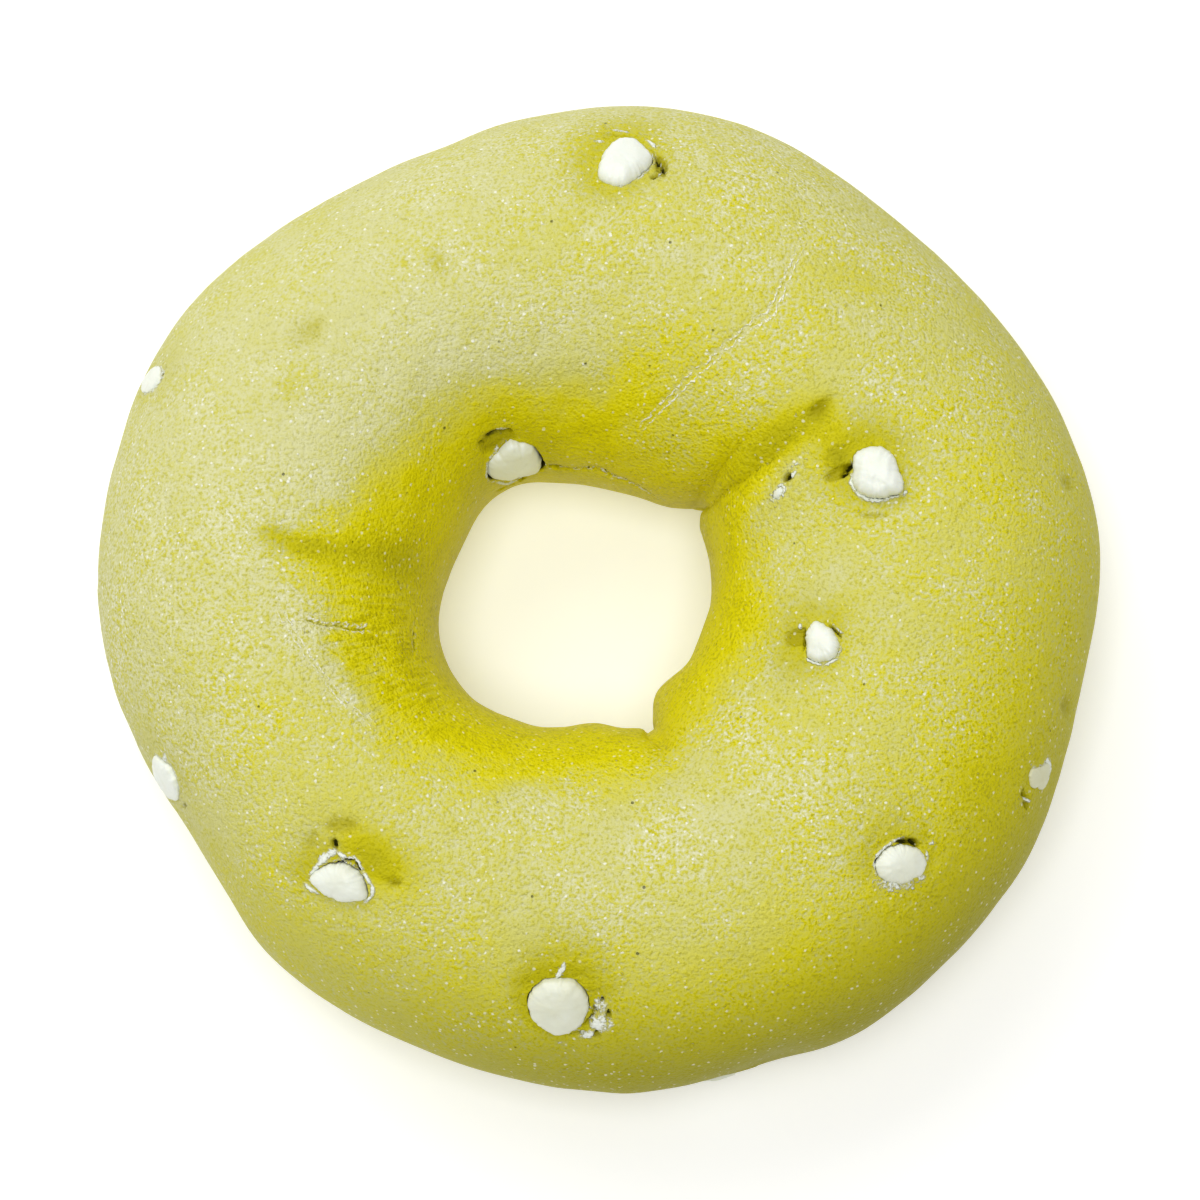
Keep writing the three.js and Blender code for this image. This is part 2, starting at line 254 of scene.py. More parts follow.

# The chips, with lengths in mm and angles in degrees:
# turn, lean: the place on the skin.
# window: half the width of the rosette.
# tall: how much longer the chip is down the slope of the skin than it looks from above.
# proud, deep: how far it stands out of the skin and reaches into it.
# outline: (direction, radius) as seen from above, 0 to the right and 90 away from the viewer.
# gap: the open seam between chip and dough, painted dark as shade, as (least, most, direction of
# the most).
# lip, dip: height of the torn lip, and depth of the shallow dip round it.
# glow: the deep colour round the chip, with half its strength of darker olive as painted shade
# in the dip round it, as (strength, direction, lean to that side).
# ridges: (height, direction). fringe: chocolate torn onto the lip, as (strength, direction).
# ivory: how warm the chip's own colour is.
# pits: hollows beside the chip, darkened with painted shade, as (right, away, reach, reach,
# turned, depth).
# films: chocolate smeared on the skin, as (right, away, reach, reach, turned, strength).
CHIPS = (
    {
        "name": "chip_top", "turn": 86.5, "lean": 30.5, "window": 5.8, "tall": 1.16, "proud": 1.25,
        "deep": 3.2, "gap": (0.02, 0.12, 10), "lip": 0.14, "dip": 0.35, "glow": (0.8, 120, 0.3),
        "ridges": (0.0, 0), "fringe": (0.5, 330), "ivory": 0.0,
        "outline": (
            (-5, 2.85), (40, 2.6), (83, 2.8), (135, 2.4), (174, 2.4), (213, 3.1), (256, 2.9),
            (290, 2.5), (322, 2.3),
        ),
        "pits": (
            (3.85, -0.4, 0.6, 1.4, 8, 0.6), (3.5, 0.6, 0.6, 0.22, -65, 1.2),
            (4.15, -0.5, 0.6, 0.22, -75, 1.2), (3.2, -1.75, 0.6, 0.2, 15, 1.0),
            (-0.5, 3.9, 1.6, 0.16, -10, 0.25),
        ),
        "films": (
            (2.9, 2.4, 0.85, 0.2, -50, 0.9), (3.85, 0.1, 0.3, 0.1, -60, 0.9),
            (3.75, -1.2, 0.4, 0.1, 60, 0.8), (-0.3, 4.35, 1.0, 0.14, -16, 0.9),
            (-2.6, 2.85, 0.6, 0.17, -4, 0.8),
        ),
    },
    {
        "name": "chip_hole_rim", "turn": 124, "lean": -76, "window": 5.6, "tall": 1.5, "proud": 1.0,
        "deep": 3.0, "gap": (0.02, 0.12, 290), "lip": 0.12, "dip": 0.2, "glow": (0.5, 130, 0.5),
        "ridges": (0.0, 0), "fringe": (0.5, 195), "ivory": 0.0,
        "outline": (
            (-8, 2.7), (20, 2.7), (60, 2.9), (80, 3.3), (100, 3.2), (125, 3.1), (150, 2.8),
            (172, 3.1), (190, 3.2), (215, 3.1), (250, 2.3), (275, 1.75), (300, 1.4), (330, 1.6),
        ),
        "pits": (
            (-2.7, 2.6, 1.9, 1.15, 30, 0.5), (-4.2, 2.2, 0.35, 0.14, 90, 1.1),
            (-3.3, 3.0, 0.65, 0.14, 28, 1.1), (-2.1, 3.8, 0.95, 0.14, 36, 1.1),
            (0.7, -3.9, 1.0, 0.13, 20, 1.1), (1.95, -2.4, 0.9, 0.16, 85, 1.2),
            (2.3, -0.5, 1.0, 0.16, 73, 1.2), (3.3, 1.1, 0.8, 0.12, 31, 1.0),
        ),
        "films": (
            (-2.3, 4.15, 0.9, 0.12, 36, 0.9), (-0.5, -2.95, 1.1, 0.16, -29, 1.0),
            (0.95, -3.2, 0.6, 0.16, 32, 1.0), (1.6, -1.9, 0.9, 0.18, 87, 1.0),
            (1.95, 0.05, 1.0, 0.18, 73, 1.0), (2.9, 1.45, 0.85, 0.15, 31, 1.0),
            (4.2, 2.1, 0.65, 0.12, 24, 0.9),
        ),
    },
    {
        "name": "chip_right", "turn": 18, "lean": -8, "window": 6.6, "tall": 1.0, "proud": 1.3,
        "deep": 3.2, "gap": (0.01, 0.1, 60), "lip": 0.16, "dip": 0.45, "glow": (1.0, 125, 0.5),
        "ridges": (0.035, 75), "fringe": (1.0, 240), "ivory": 0.0,
        "outline": (
            (-5, 2.5), (17, 2.25), (60, 2.7), (90, 2.85), (130, 2.95), (152, 2.7), (170, 2.35),
            (191, 2.5), (209, 2.65), (244, 2.5), (270, 2.5), (300, 2.6), (322, 3.1), (335, 2.9),
        ),
        "pits": (
            (-2.8, 0.8, 0.75, 0.27, 35, 1.4), (-3.4, 0.0, 0.45, 0.18, 25, 1.2),
            (-4.0, 0.2, 1.6, 0.65, 27, 0.5), (-0.1, -4.2, 1.7, 0.3, 0, 0.3),
        ),
        "films": (
            (-2.6, -0.9, 0.5, 0.3, -60, 1.0), (-1.8, -2.0, 0.6, 0.3, -45, 0.9),
            (2.9, -1.9, 0.4, 0.2, 60, 0.8),
        ),
    },
    {
        "name": "chip_inner_right", "turn": 340.5, "lean": -22, "window": 5.2, "tall": 1.06,
        "proud": 0.9, "deep": 2.8, "gap": (0.02, 0.12, 172), "lip": 0.1, "dip": 0.25,
        "glow": (0.9, 175, 0.7), "ridges": (0.0, 0), "fringe": (0.4, 300), "ivory": 0.0,
        "outline": (
            (-5, 1.75), (24, 1.65), (68, 1.8), (100, 2.25), (120, 2.05), (158, 1.6), (200, 1.5),
            (224, 2.0), (266, 1.95), (320, 1.95),
        ),
        "pits": (
            (-1.75, 0.6, 1.1, 0.2, 88, 1.3), (-2.6, 0.75, 1.3, 0.9, 5, 0.5),
            (1.45, 1.15, 0.9, 0.14, -50, 0.8),
        ),
        "films": (
            (-0.8, -1.95, 0.9, 0.17, -26, 1.0), (0.9, -2.0, 0.8, 0.15, 26, 1.0),
            (1.75, 1.3, 0.9, 0.12, -48, 0.7), (-2.1, 1.9, 0.3, 0.2, 40, 0.8),
        ),
    },
    {
        "name": "chip_lower_right", "turn": 315, "lean": 29.5, "window": 5.4, "tall": 1.06,
        "proud": 0.85, "deep": 2.9, "gap": (0.01, 0.14, 130), "lip": 0.16, "dip": 0.2,
        "glow": (0.75, 90, 0.2), "ridges": (0.0, 0), "fringe": (0.5, 265), "ivory": 0.25,
        "outline": (
            (4, 2.9), (36, 2.35), (60, 1.95), (85, 1.75), (125, 1.8), (155, 2.1), (176, 2.4),
            (206, 2.6), (245, 2.1), (285, 2.05), (315, 2.2), (340, 2.75),
        ),
        "pits": (
            (0.9, 2.0, 1.3, 0.4, -3, 0.6), (1.8, 1.75, 0.5, 0.3, -30, 1.3),
            (0.5, 1.95, 0.7, 0.16, 0, 0.9), (-2.35, 0.25, 0.4, 0.2, 50, 1.2),
        ),
        "films": (
            (-2.6, 0.0, 0.45, 0.16, 85, 1.0), (-2.25, 0.85, 0.5, 0.16, 50, 1.0),
            (-1.4, 1.6, 0.65, 0.16, 32, 1.0), (-0.2, 2.2, 0.8, 0.15, 10, 1.0),
            (-0.4, -2.1, 2.6, 0.8, -3, 0.5), (3.05, 0.6, 0.22, 0.6, 10, 0.7),
            (2.6, -1.5, 0.6, 0.8, 30, 0.5), (3.6, 1.9, 0.4, 0.15, 30, 0.8),
        ),
    },
    {
        "name": "chip_right_side", "turn": 335.5, "lean": 63, "window": 4.2, "tall": 1.3,
        "proud": 0.1, "deep": 2.6, "gap": (0.0, 0.04, 220), "lip": 0.06, "dip": 0.05,
        "glow": (0.25, 180, 0.4), "ridges": (0.0, 0), "fringe": (0.9, 20), "ivory": 0.85,
        "outline": (
            (5, 1.4), (41, 2.0), (80, 1.3), (120, 1.2), (150, 1.7), (211, 1.6), (250, 1.0),
            (290, 1.25), (325, 1.2),
        ),
        "pits": ((-2.2, -1.8, 0.6, 0.28, -40, 1.5), (-1.9, -2.6, 0.4, 0.24, 20, 1.4)),
        "films": (
            (-2.6, -2.6, 0.4, 0.16, 40, 1.0), (-1.7, -2.2, 0.35, 0.14, -30, 0.9),
            (0.9, 1.2, 1.2, 0.8, 60, 0.6), (-0.9, 0.9, 0.9, 0.5, -40, 0.5),
        ),
    },
    {
        "name": "chip_bottom", "turn": 264.5, "lean": 38.5, "window": 6.6, "tall": 1.1,
        "proud": 0.9, "deep": 2.9, "gap": (0.1, 0.38, 250), "lip": 0.1, "dip": 0.4,
        "glow": (1.1, 60, 0.1), "ridges": (0.0, 0), "fringe": (0.3, 330), "ivory": 0.4,
        "outline": (
            (-4, 3.2), (42, 3.15), (85, 2.65), (125, 2.7), (150, 2.8), (176, 2.9), (203, 2.85),
            (232, 2.8), (279, 3.1), (321, 3.05),
        ),
        "pits": (
            (5.2, -1.1, 0.22, 0.4, 0, 1.2), (4.5, 0.3, 0.35, 0.16, 30, 1.0),
            (3.8, -0.5, 0.3, 0.16, -40, 0.9), (3.95, -3.3, 0.25, 0.4, 0, 1.2),
            (3.2, -1.7, 0.9, 0.13, 50, 1.1), (2.2, -3.2, 0.7, 0.13, 15, 1.0),
        ),
        "films": (
            (0.5, 3.5, 1.0, 0.2, 61, 1.4), (4.5, -0.4, 0.9, 1.4, 0, 0.5),
            (4.2, -2.0, 1.0, 1.1, 30, 0.7), (3.1, -3.3, 1.1, 0.4, 20, 0.8),
            (5.3, -2.2, 0.3, 0.8, -20, 0.7), (0.3, -4.5, 0.6, 0.16, 10, 0.6),
        ),
    },
    {
        "name": "chip_lower_left", "turn": 231, "lean": 25.5, "window": 7.2, "tall": 1.04,
        "proud": 1.05, "deep": 3.1, "gap": (0.02, 0.3, 60), "lip": 0.22, "dip": 0.3,
        "glow": (0.85, 110, 0.7), "ridges": (0.0, 0), "fringe": (0.5, 60), "ivory": 0.12,
        "outline": (
            (-12, 2.8), (30, 2.1), (60, 1.9), (90, 1.8), (120, 1.95), (145, 2.3), (172, 2.9),
            (205, 2.2), (249, 1.8), (301, 2.4), (330, 3.2),
        ),
        "pits": (
            (0.5, 5.5, 1.9, 0.8, 5, 0.35), (-0.3, 3.75, 0.32, 0.48, 20, 1.4),
            (-2.7, 3.9, 0.6, 1.3, -20, 0.2), (1.1, 2.15, 0.6, 0.14, 0, 1.1),
            (2.0, 1.5, 0.6, 0.14, -65, 1.1), (5.6, -0.6, 0.5, 0.3, 30, 0.5),
        ),
        "films": (
            (-2.4, 1.2, 0.9, 0.26, 54, 1.0), (-1.4, 2.3, 0.9, 0.4, 43, 1.0),
            (-0.5, 2.9, 0.5, 0.35, 13, 1.0), (0.5, 2.65, 0.7, 0.22, -31, 1.0),
            (1.4, 2.35, 0.5, 0.2, 10, 1.0), (2.15, 1.75, 0.85, 0.2, -63, 1.0),
            (2.9, 0.25, 1.0, 0.2, -63, 1.0), (3.3, -1.05, 0.6, 0.18, -90, 1.0),
            (2.85, -1.95, 0.65, 0.18, 44, 0.9), (-3.1, -0.85, 0.95, 0.24, -34, 0.9),
            (-1.2, 2.0, 0.9, 0.3, 40, 0.5),
        ),
    },
    {
        "name": "chip_left_side_low", "turn": 204.5, "lean": 71.5, "window": 5.2, "tall": 1.45,
        "proud": 0.4, "deep": 2.7, "gap": (0.01, 0.1, 20), "lip": 0.14, "dip": 0.15,
        "glow": (0.2, 0, 0.2), "ridges": (0.05, 90), "fringe": (0.6, 30), "ivory": 0.0,
        "outline": (
            (0, 2.5), (30, 2.4), (60, 2.2), (95, 2.5), (118, 2.2), (160, 1.6), (203, 1.4),
            (250, 1.8), (285, 2.4), (305, 2.7), (335, 2.6),
        ),
        "pits": ((2.2, -3.0, 0.4, 0.2, 30, 1.0),),
        "films": ((1.6, 2.2, 0.6, 0.3, 60, 0.7),),
    },
    {
        "name": "chip_left_side_high", "turn": 155.5, "lean": 65, "window": 4.6, "tall": 1.4,
        "proud": 0.2, "deep": 2.6, "gap": (0.0, 0.06, 300), "lip": 0.08, "dip": 0.1,
        "glow": (0.2, 0, 0.2), "ridges": (0.0, 0), "fringe": (0.8, 330), "ivory": 0.15,
        "outline": (
            (0, 2.0), (55, 1.5), (110, 1.4), (155, 1.2), (210, 1.4), (260, 1.7), (300, 2.2),
            (335, 2.3),
        ),
        "pits": ((2.3, -0.2, 0.25, 0.2, 0, 0.9),),
        "films": ((1.4, -1.8, 0.9, 0.7, -40, 0.5),),
    },
    {
        "name": "chip_crumb_right", "turn": 23.5, "lean": -38, "window": 2.6, "tall": 1.1,
        "proud": 0.14, "deep": 1.3, "gap": (0.0, 0.0, 60), "lip": 0.06, "dip": 0.03,
        "glow": (0.1, 0, 0.0), "ridges": (0.0, 0), "fringe": (1.0, 40), "ivory": 0.1,
        "outline": ((0, 0.5), (50, 0.6), (120, 0.4), (180, 0.6), (235, 0.8), (300, 0.5)),
        "pits": ((0.9, 1.35, 0.55, 0.3, 35, 1.6),),
        "films": (
            (-0.2, -0.3, 1.0, 0.7, 40, 0.5), (1.5, 1.65, 0.5, 0.15, 45, 1.0),
            (1.6, 2.6, 1.5, 0.4, 25, 0.4),
        ),
    },
    {
        "name": "chip_back_side", "turn": 62, "lean": 112, "window": 4.4, "tall": 1.0, "proud": 0.4,
        "deep": 2.7, "gap": (0.03, 0.2, 90), "lip": 0.16, "dip": 0.3, "glow": (0.5, 0, 0.2),
        "ridges": (0.0, 0), "fringe": (0.7, 90), "ivory": 0.1,
        "outline": ((0, 2.5), (60, 2.8), (120, 2.3), (180, 2.6), (240, 2.8), (300, 2.3)),
        "pits": ((-0.4, 3.4, 1.2, 0.4, 10, 0.6), (-0.2, 3.2, 0.6, 0.15, 10, 1.1)),
        "films": ((-1.8, 2.4, 0.7, 0.2, 40, 0.9),),
    },
    {
        "name": "chip_front_side", "turn": 284, "lean": 113, "window": 4.4, "tall": 1.0,
        "proud": 0.15, "deep": 2.7, "gap": (0.03, 0.2, 200), "lip": 0.14, "dip": 0.3,
        "glow": (0.5, 0, 0.2), "ridges": (0.05, 20), "fringe": (0.7, 270), "ivory": 0.2,
        "outline": ((0, 2.6), (50, 2.3), (110, 2.6), (170, 2.4), (230, 2.5), (300, 2.7)),
        "pits": ((-2.9, -0.4, 0.6, 0.3, 70, 1.1),),
        "films": ((1.8, 1.9, 0.8, 0.5, -40, 0.8),),
    },
    {
        "name": "chip_hole_wall", "turn": 250, "lean": -114, "window": 3.6, "tall": 1.0,
        "proud": 0.35, "deep": 2.6, "gap": (0.03, 0.14, 0), "lip": 0.12, "dip": 0.2,
        "glow": (0.3, 0, 0.2), "ridges": (0.0, 0), "fringe": (0.5, 0), "ivory": 0.1,
        "outline": ((0, 2.3), (70, 2.4), (130, 2.1), (200, 2.4), (270, 2.2), (320, 2.4)),
        "pits": (),
        "films": (),
    },
)


# ---------------------------------------------------------------- settings

def linear(code):
    """An sRGB hex colour as three linear values."""
    parts = np.array([int(code[i:i + 2], 16) for i in (1, 3, 5)]) / 255
    return tuple(np.where(parts <= 0.04045, parts / 12.92, ((parts + 0.055) / 1.055) ** 2.4))


def colour(name, description, code):
    """A colour setting, whose default is an sRGB hex colour."""
    return FloatVectorProperty(
        name=name, description=description, default=linear(code), size=3, min=0, max=1,
        subtype="COLOR")


class BagelShape(bpy.types.PropertyGroup):
    """Sizes of the dough and its chips."""

    crown_height: FloatProperty(
        name="Crown height", description="Mean height of the top of the ring",
        default=0.0334, min=0.02, max=0.05, precision=4, unit="LENGTH")
    widest_height: FloatProperty(
        name="Widest height", description="Height at which the ring is widest",
        default=0.015, min=0.008, max=0.025, precision=4, unit="LENGTH")
    sunk_below: FloatProperty(
        name="Sunk below", description="How far the round section would dip under the underside",
        default=0.002, min=0.0, max=0.006, precision=4, unit="LENGTH")
    underside_power: FloatProperty(
        name="Underside squareness", description="Below 1 the lower shoulders are squarer than a circle",
        default=0.8, min=0.5, max=1.0)
    notch_depth: FloatProperty(
        name="Notch depth", description="How deep the wrapped end's edges cut into the wall of the hole",
        default=0.0023, min=0.0, max=0.005, precision=4, unit="LENGTH")
    chip_segments: IntProperty(
        name="Chip segments", description="Points round the outline of a chip", default=160, min=24, max=192)
    chip_rings: IntProperty(
        name="Chip rings", description="Rings from the tip of a chip to its foot", default=44, min=12, max=96)


class BagelColours(bpy.types.PropertyGroup):
    """Colours of the crust and the chips, in linear light."""

    bloom: colour("Bloom", "Floury film on the crown", "#d6d495")
    flour: colour("Flour", "The palest grains of the bloom", "#e6e5c0")
    skin: colour("Skin", "Crust between the floury crown and the walls", "#d3cf63")
    deep: colour("Deep green", "Bare crust in the hole and round the chips", "#dfd500")
    olive: colour("Olive", "The darkest grains of the bare crust", "#c4ba00")
    # Baked olive: painted shade where the flank, the tinted patches and the dips round the chips take it; in
    # the tea grains it is the crust's own colour.
    baked: colour("Baked olive", "Crust on the side that baked darker", "#8f8a0c")
    # The moist green and the pit green are painted shade, a lighter and a darker step, in the hollows, dents,
    # cracks, pinprick pores and the open seams round the chips.
    shaded: colour("Moist green", "Thin moist skin in the hollows beside the chips", "#a39a02")
    shade: colour("Pit green", "Moist crumb at the bottom of pits and cracks", "#24260a")
    toast: colour("Toasted underside", "Crust that touched the tray", "#cdb65e")
    speck: colour("Flour speck", "Fine grains of flour", "#f8f8e6")
    cream: colour("White chocolate", "Chips and what they smeared on the skin", "#f0f4e8")
    ivory: colour("Ivory chocolate", "The warmer parts of the chips", "#cfcda0")


class BagelStage(bpy.types.PropertyGroup):
    """The floor, the light and the camera."""

    lamp_power: FloatProperty(
        name="Key power", description="Power of the large soft lamp", default=2.6, min=0.0, unit="POWER")
    fill_power: FloatProperty(
        name="Fill power", description="Power of the overhead lamp", default=3.0, min=0.0, unit="POWER")
    sky_strength: FloatProperty(
        name="Room light", description="Strength of the even light of the room", default=0.375, min=0.0)
    lens: FloatProperty(
        name="Lens", description="Focal length of the camera", default=120.0, min=20.0, max=300.0,
        unit="CAMERA")
    elevation: FloatProperty(
        name="Elevation", description="Height of the camera above the table, as an angle",
        default=80 * DEGREE, min=0.0, max=90 * DEGREE, subtype="ANGLE")
    distance: FloatProperty(
        name="Distance", description="From the camera to the middle of the ring",
        default=0.4213, min=0.1, max=2.0, precision=4, unit="LENGTH")
    aim: FloatVectorProperty(
        name="Aim", description="The point that the camera and the lamps look at",
        default=(0.0001, -0.0009, 0.015), size=3, precision=4, subtype="TRANSLATION", unit="LENGTH")


# ---------------------------------------------------------------- numbers and curves

def signed(degrees):
    """The same angle between -180 and 180."""
    return (degrees + 180) % 360 - 180


def ease(t):
    """The S curve from 0 to 1: three t squared less two t cubed."""
    return t * t * (3 - 2 * t)


def smooth(low, high, value):
    """0 below low, 1 above high and an S curve between; low may be the larger."""
    return ease(np.clip((value - low) / (high - low), 0, 1))


def facing(direction, side):
    """1 in the direction of a side and 0 in the opposite one: half of one plus the cosine."""
    return (1 + np.cos(signed(direction - side) * DEGREE)) / 2


def round_curve(points, degrees):
    """A smooth closed curve of value over direction: a cubic between neighbouring points, with
    each point's slope that of the line between the points on its two sides."""
    places, values = np.array(points, float).T
    count = len(places)
    places = np.concatenate([places - 360, places, places + 360])
    values = np.tile(values, 3)
    slopes = np.zeros_like(values)
    slopes[1:-1] = (values[2:] - values[:-2]) / (places[2:] - places[:-2])
    at = (np.asarray(degrees, float) - places[count]) % 360 + places[count]
    k = np.clip(np.searchsorted(places, at, side="right") - 1, 0, 3 * count - 2)
    span = places[k + 1] - places[k]
    t = (at - places[k]) / span
    blend = ease(t)
    leave = t * (1 - t) ** 2 * span * slopes[k]
    arrive = t * t * (t - 1) * span * slopes[k + 1]
    return values[k] * (1 - blend) + values[k + 1] * blend + leave + arrive


def over_reach(right, away, reach_right, reach_away, turned):
    """Distances along two turned axes, each over its own reach."""
    angle = turned * DEGREE
    along = (right * math.cos(angle) + away * math.sin(angle)) / reach_right
    across = (away * math.cos(angle) - right * math.sin(angle)) / reach_away
    return along, across


def hump(right, away, reach_right, reach_away, turned=0.0):
    """A bell, 1 in the middle: e to minus the squared distance over the reach on each axis."""
    along, across = over_reach(right, away, reach_right, reach_away, turned)
    return np.exp(-(along * along + across * across))


def cup(right, away, reach_right, reach_away, turned=0.0):
    """A flat-bottomed hollow, 1 inside and 0 outside its rim: a steep S curve of the distance."""
    along, across = over_reach(right, away, reach_right, reach_away, turned)
    return smooth(1.2, 0.7, np.hypot(along, across))


def value_noise(right, away, size, seed):
    """Smooth random values from -1 to 1: random numbers on a square lattice, blended between."""
    side = 64
    lattice = np.random.default_rng(seed).uniform(-1, 1, (side, side))
    x = right / size
    y = away / size
    column = np.floor(x).astype(int)
    row = np.floor(y).astype(int)
    across = ease(x - column)
    up = ease(y - row)
    here = column % side
    beside = (column + 1) % side
    low = lattice[row % side, here] * (1 - across) + lattice[row % side, beside] * across
    next_row = (row + 1) % side
    high = lattice[next_row, here] * (1 - across) + lattice[next_row, beside] * across
    return low * (1 - up) + high * up


# ---------------------------------------------------------------- the bare ring

def bare_skin(turn, lean):
    """Points of the ring before any detail, in mm. The section is half an ellipse above its
    widest height and a squarer half below it, laid from the wall of the hole to the outermost
    line, and the part that would dip under the table is flattened onto it."""
    shape = bpy.context.scene.bagel_shape
    outer = round_curve(OUTER_PLAN, turn)
    hole = round_curve(HOLE_PLAN, turn)
    out = np.sin(lean * DEGREE)
    up = np.cos(lean * DEGREE)
    power = np.where(up < 0, shape.underside_power, 1.0)
    reach = np.sign(out) * np.abs(out) ** power
    rise = np.sign(up) * np.abs(up) ** power
    crown = shape.crown_height / MM
    for count, height, highest in CROWN_WAVES:
        crown = crown + height * np.cos(count * (turn - highest) * DEGREE)
    widest = shape.widest_height / MM
    half = np.where(rise < 0, widest + shape.sunk_below / MM, crown - widest)
    push = sum(np.exp(-np.abs(signed(turn - notch)) / NOTCH_SPREAD) for notch in NOTCH_TURNS)
    push = push * shape.notch_depth / MM * ((1 - out) / 2) ** NOTCH_FADE
    radius = (outer + hole) / 2 + (outer - hole) / 2 * reach + push
    height = widest + half * rise
    height = (height + np.sqrt(height * height + SHOULDER)) / 2
    return np.stack([radius * np.cos(turn * DEGREE), radius * np.sin(turn * DEGREE), height], -1)


def tangents(turn, lean):
    """Short steps along the skin: clockwise round the ring, and across it as lean grows."""
    step = 0.25  # degrees
    back = bare_skin(turn - step, lean) - bare_skin(turn + step, lean)
    across = bare_skin(turn, lean + step) - bare_skin(turn, lean - step)
    return back / (2 * step), across / (2 * step)


def unit(vectors):
    """The same vectors at length 1."""
    return vectors / np.maximum(np.linalg.norm(vectors, axis=-1, keepdims=True), 1e-9)


def outward(turn, lean):
    """The way out of the skin: the cross product of its two tangents."""
    back, across = tangents(turn, lean)
    return unit(np.cross(back, across))


class Place:
    """A place on the skin with flat axes of its own: right and away as seen from above."""

    def __init__(self, turn, lean):
        """The point, the ways clockwise, across and out, and rate, mm of skin per degree of lean."""
        self.turn = turn
        self.lean = lean
        back, across = tangents(np.array(turn, float), np.array(lean, float))
        self.rate = float(np.linalg.norm(across))
        self.back = unit(back)
        self.across = unit(across)
        self.out = np.cross(self.back, self.across)
        self.point = bare_skin(np.array(turn, float), np.array(lean, float))
        self.sine = math.sin(turn * DEGREE)
        self.cosine = math.cos(turn * DEGREE)

    def offsets(self, turn, lean, radius):
        """Right and away distances in mm on the skin of points near the place."""
        back = -signed(turn - self.turn) * radius * DEGREE
        across = signed(lean - self.lean) * self.rate
        return back * self.sine + across * self.cosine, across * self.sine - back * self.cosine

    def angles(self, right, away):
        """Turn and lean of points given by their right and away distances."""
        across = right * self.cosine + away * self.sine
        back = right * self.sine - away * self.cosine
        lean = self.lean + across / self.rate
        point = bare_skin(np.full_like(lean, self.turn), lean)
        return self.turn - back / (np.hypot(point[:, 0], point[:, 1]) * DEGREE), lean

    def world(self, right, away, out):
        """Points in mm from flat offsets along the place's own axes."""
        axis_right = self.back * self.sine + self.across * self.cosine
        axis_away = self.across * self.sine - self.back * self.cosine
        return (self.point + right[..., None] * axis_right + away[..., None] * axis_away
                + out[..., None] * self.out)


# ---------------------------------------------------------------- detail of the skin

def ring_offsets(turn, lean, radius, centre_turn, centre_lean):
    """Distances in mm round the ring and across it from a place on the crown side."""
    return signed(turn - centre_turn) * radius * DEGREE, signed(lean - centre_lean) * LEAN_STEP


def bells(table, turn, lean, radius):
    """For each row of a table, its bell on the skin and the values after its place and reach."""
    for place_turn, place_lean, reach_round, reach_across, *values in table:
        along, across = ring_offsets(turn, lean, radius, place_turn, place_lean)
        yield hump(along, across, reach_round, reach_across), *values


def add_lumps(turn, lean, radius):
    """Height of the broad lumps and small dents: a sum of bells."""
    height = np.zeros_like(turn)
    for bell, rise in bells(LUMPS, turn, lean, radius):
        height += rise * bell
    dents = np.zeros_like(turn)
    for bell, depth in bells(DENTS, turn, lean, radius):
        height -= depth * bell
        dents = np.maximum(dents, bell * min(1.0, depth * 1.6))
    return height, dents


def crease_offsets(path, turn, lean, radius):
    """Distance from a path of straight stretches, signed by its side, and how far along it, from
    0 to 1, the nearest point is."""
    best = np.full_like(turn, 1e9)
    side = np.zeros_like(turn)
    share = np.zeros_like(turn)
    lengths = []
    for (t0, l0), (t1, l1) in zip(path[:-1], path[1:]):
        lengths.append(math.hypot((t1 - t0) * NEAR_HOLE_RADIUS * DEGREE, (l1 - l0) * LEAN_STEP))
    total = sum(lengths)
    done = 0.0
    for ((t0, l0), (t1, l1)), length in zip(zip(path[:-1], path[1:]), lengths):
        along = signed(turn - t0) * radius * DEGREE
        across = signed(lean - l0) * LEAN_STEP
        run = signed(t1 - t0) * radius * DEGREE
        climb = (l1 - l0) * LEAN_STEP
        t = np.clip((along * run + across * climb) / (run * run + climb * climb), 0, 1)
        gap = np.hypot(along - t * run, across - t * climb)
        nearer = gap < best
        best = np.where(nearer, gap, best)
        side = np.where(nearer, np.sign(along * climb - across * run), side)
        share = np.where(nearer, (done + t * length) / total, share)
        done += length
    return best * side, share


def add_creases(turn, lean, radius):
    """Height of the creases: a narrow groove in a broad valley, with a bank on its far side.
    Both die away towards the ends of the path, the groove sooner. The crust draws the cracks and
    strands from the signed distance to the nearest crease, which stays sharp between points."""
    height = np.zeros_like(turn)
    valley = np.zeros_like(turn)
    seam = np.full_like(turn, SEAM_REACH)
    crack = np.zeros_like(turn)
    strand = np.zeros_like(turn)
    wander = 0.25 * value_noise(turn * 0.6, lean * 0.3, 2.3, 31)
    for crease in CREASES:
        offset, share = crease_offsets(crease["path"], turn, lean, radius)
        offset = offset + wander
        start, end = crease["ends"]
        rising = smooth(0, max(start, 1e-3), share)
        faint = rising * smooth(1, (1 + end) / 2, share)
        narrow = np.exp(-(offset / crease["width"]) ** 2) * rising * smooth(1, end, share)
        broad = np.exp(-(offset / crease["valley"]) ** 2) * faint
        bank = smooth(0, BANK_RISE, offset) * np.exp(-np.maximum(offset, 0) / BANK_REACH) * faint
        height += crease["bank"] * bank - crease["depth"] * narrow - crease["valley_depth"] * broad
        valley = np.maximum(valley, broad * min(1.0, crease["valley_depth"] * 1.3 + 0.1))
        nearer = np.abs(offset) < np.abs(seam)
        seam = np.where(nearer, offset, seam)
        close = faint * smooth(*SEAM_FADES, np.abs(offset))
        crack = np.where(nearer, crease["crack"] * close, crack)
        strand = np.where(nearer, crease["strand"] * close, strand)
    return height, {"valley": valley, "seam": seam, "crack": crack, "strand": strand}


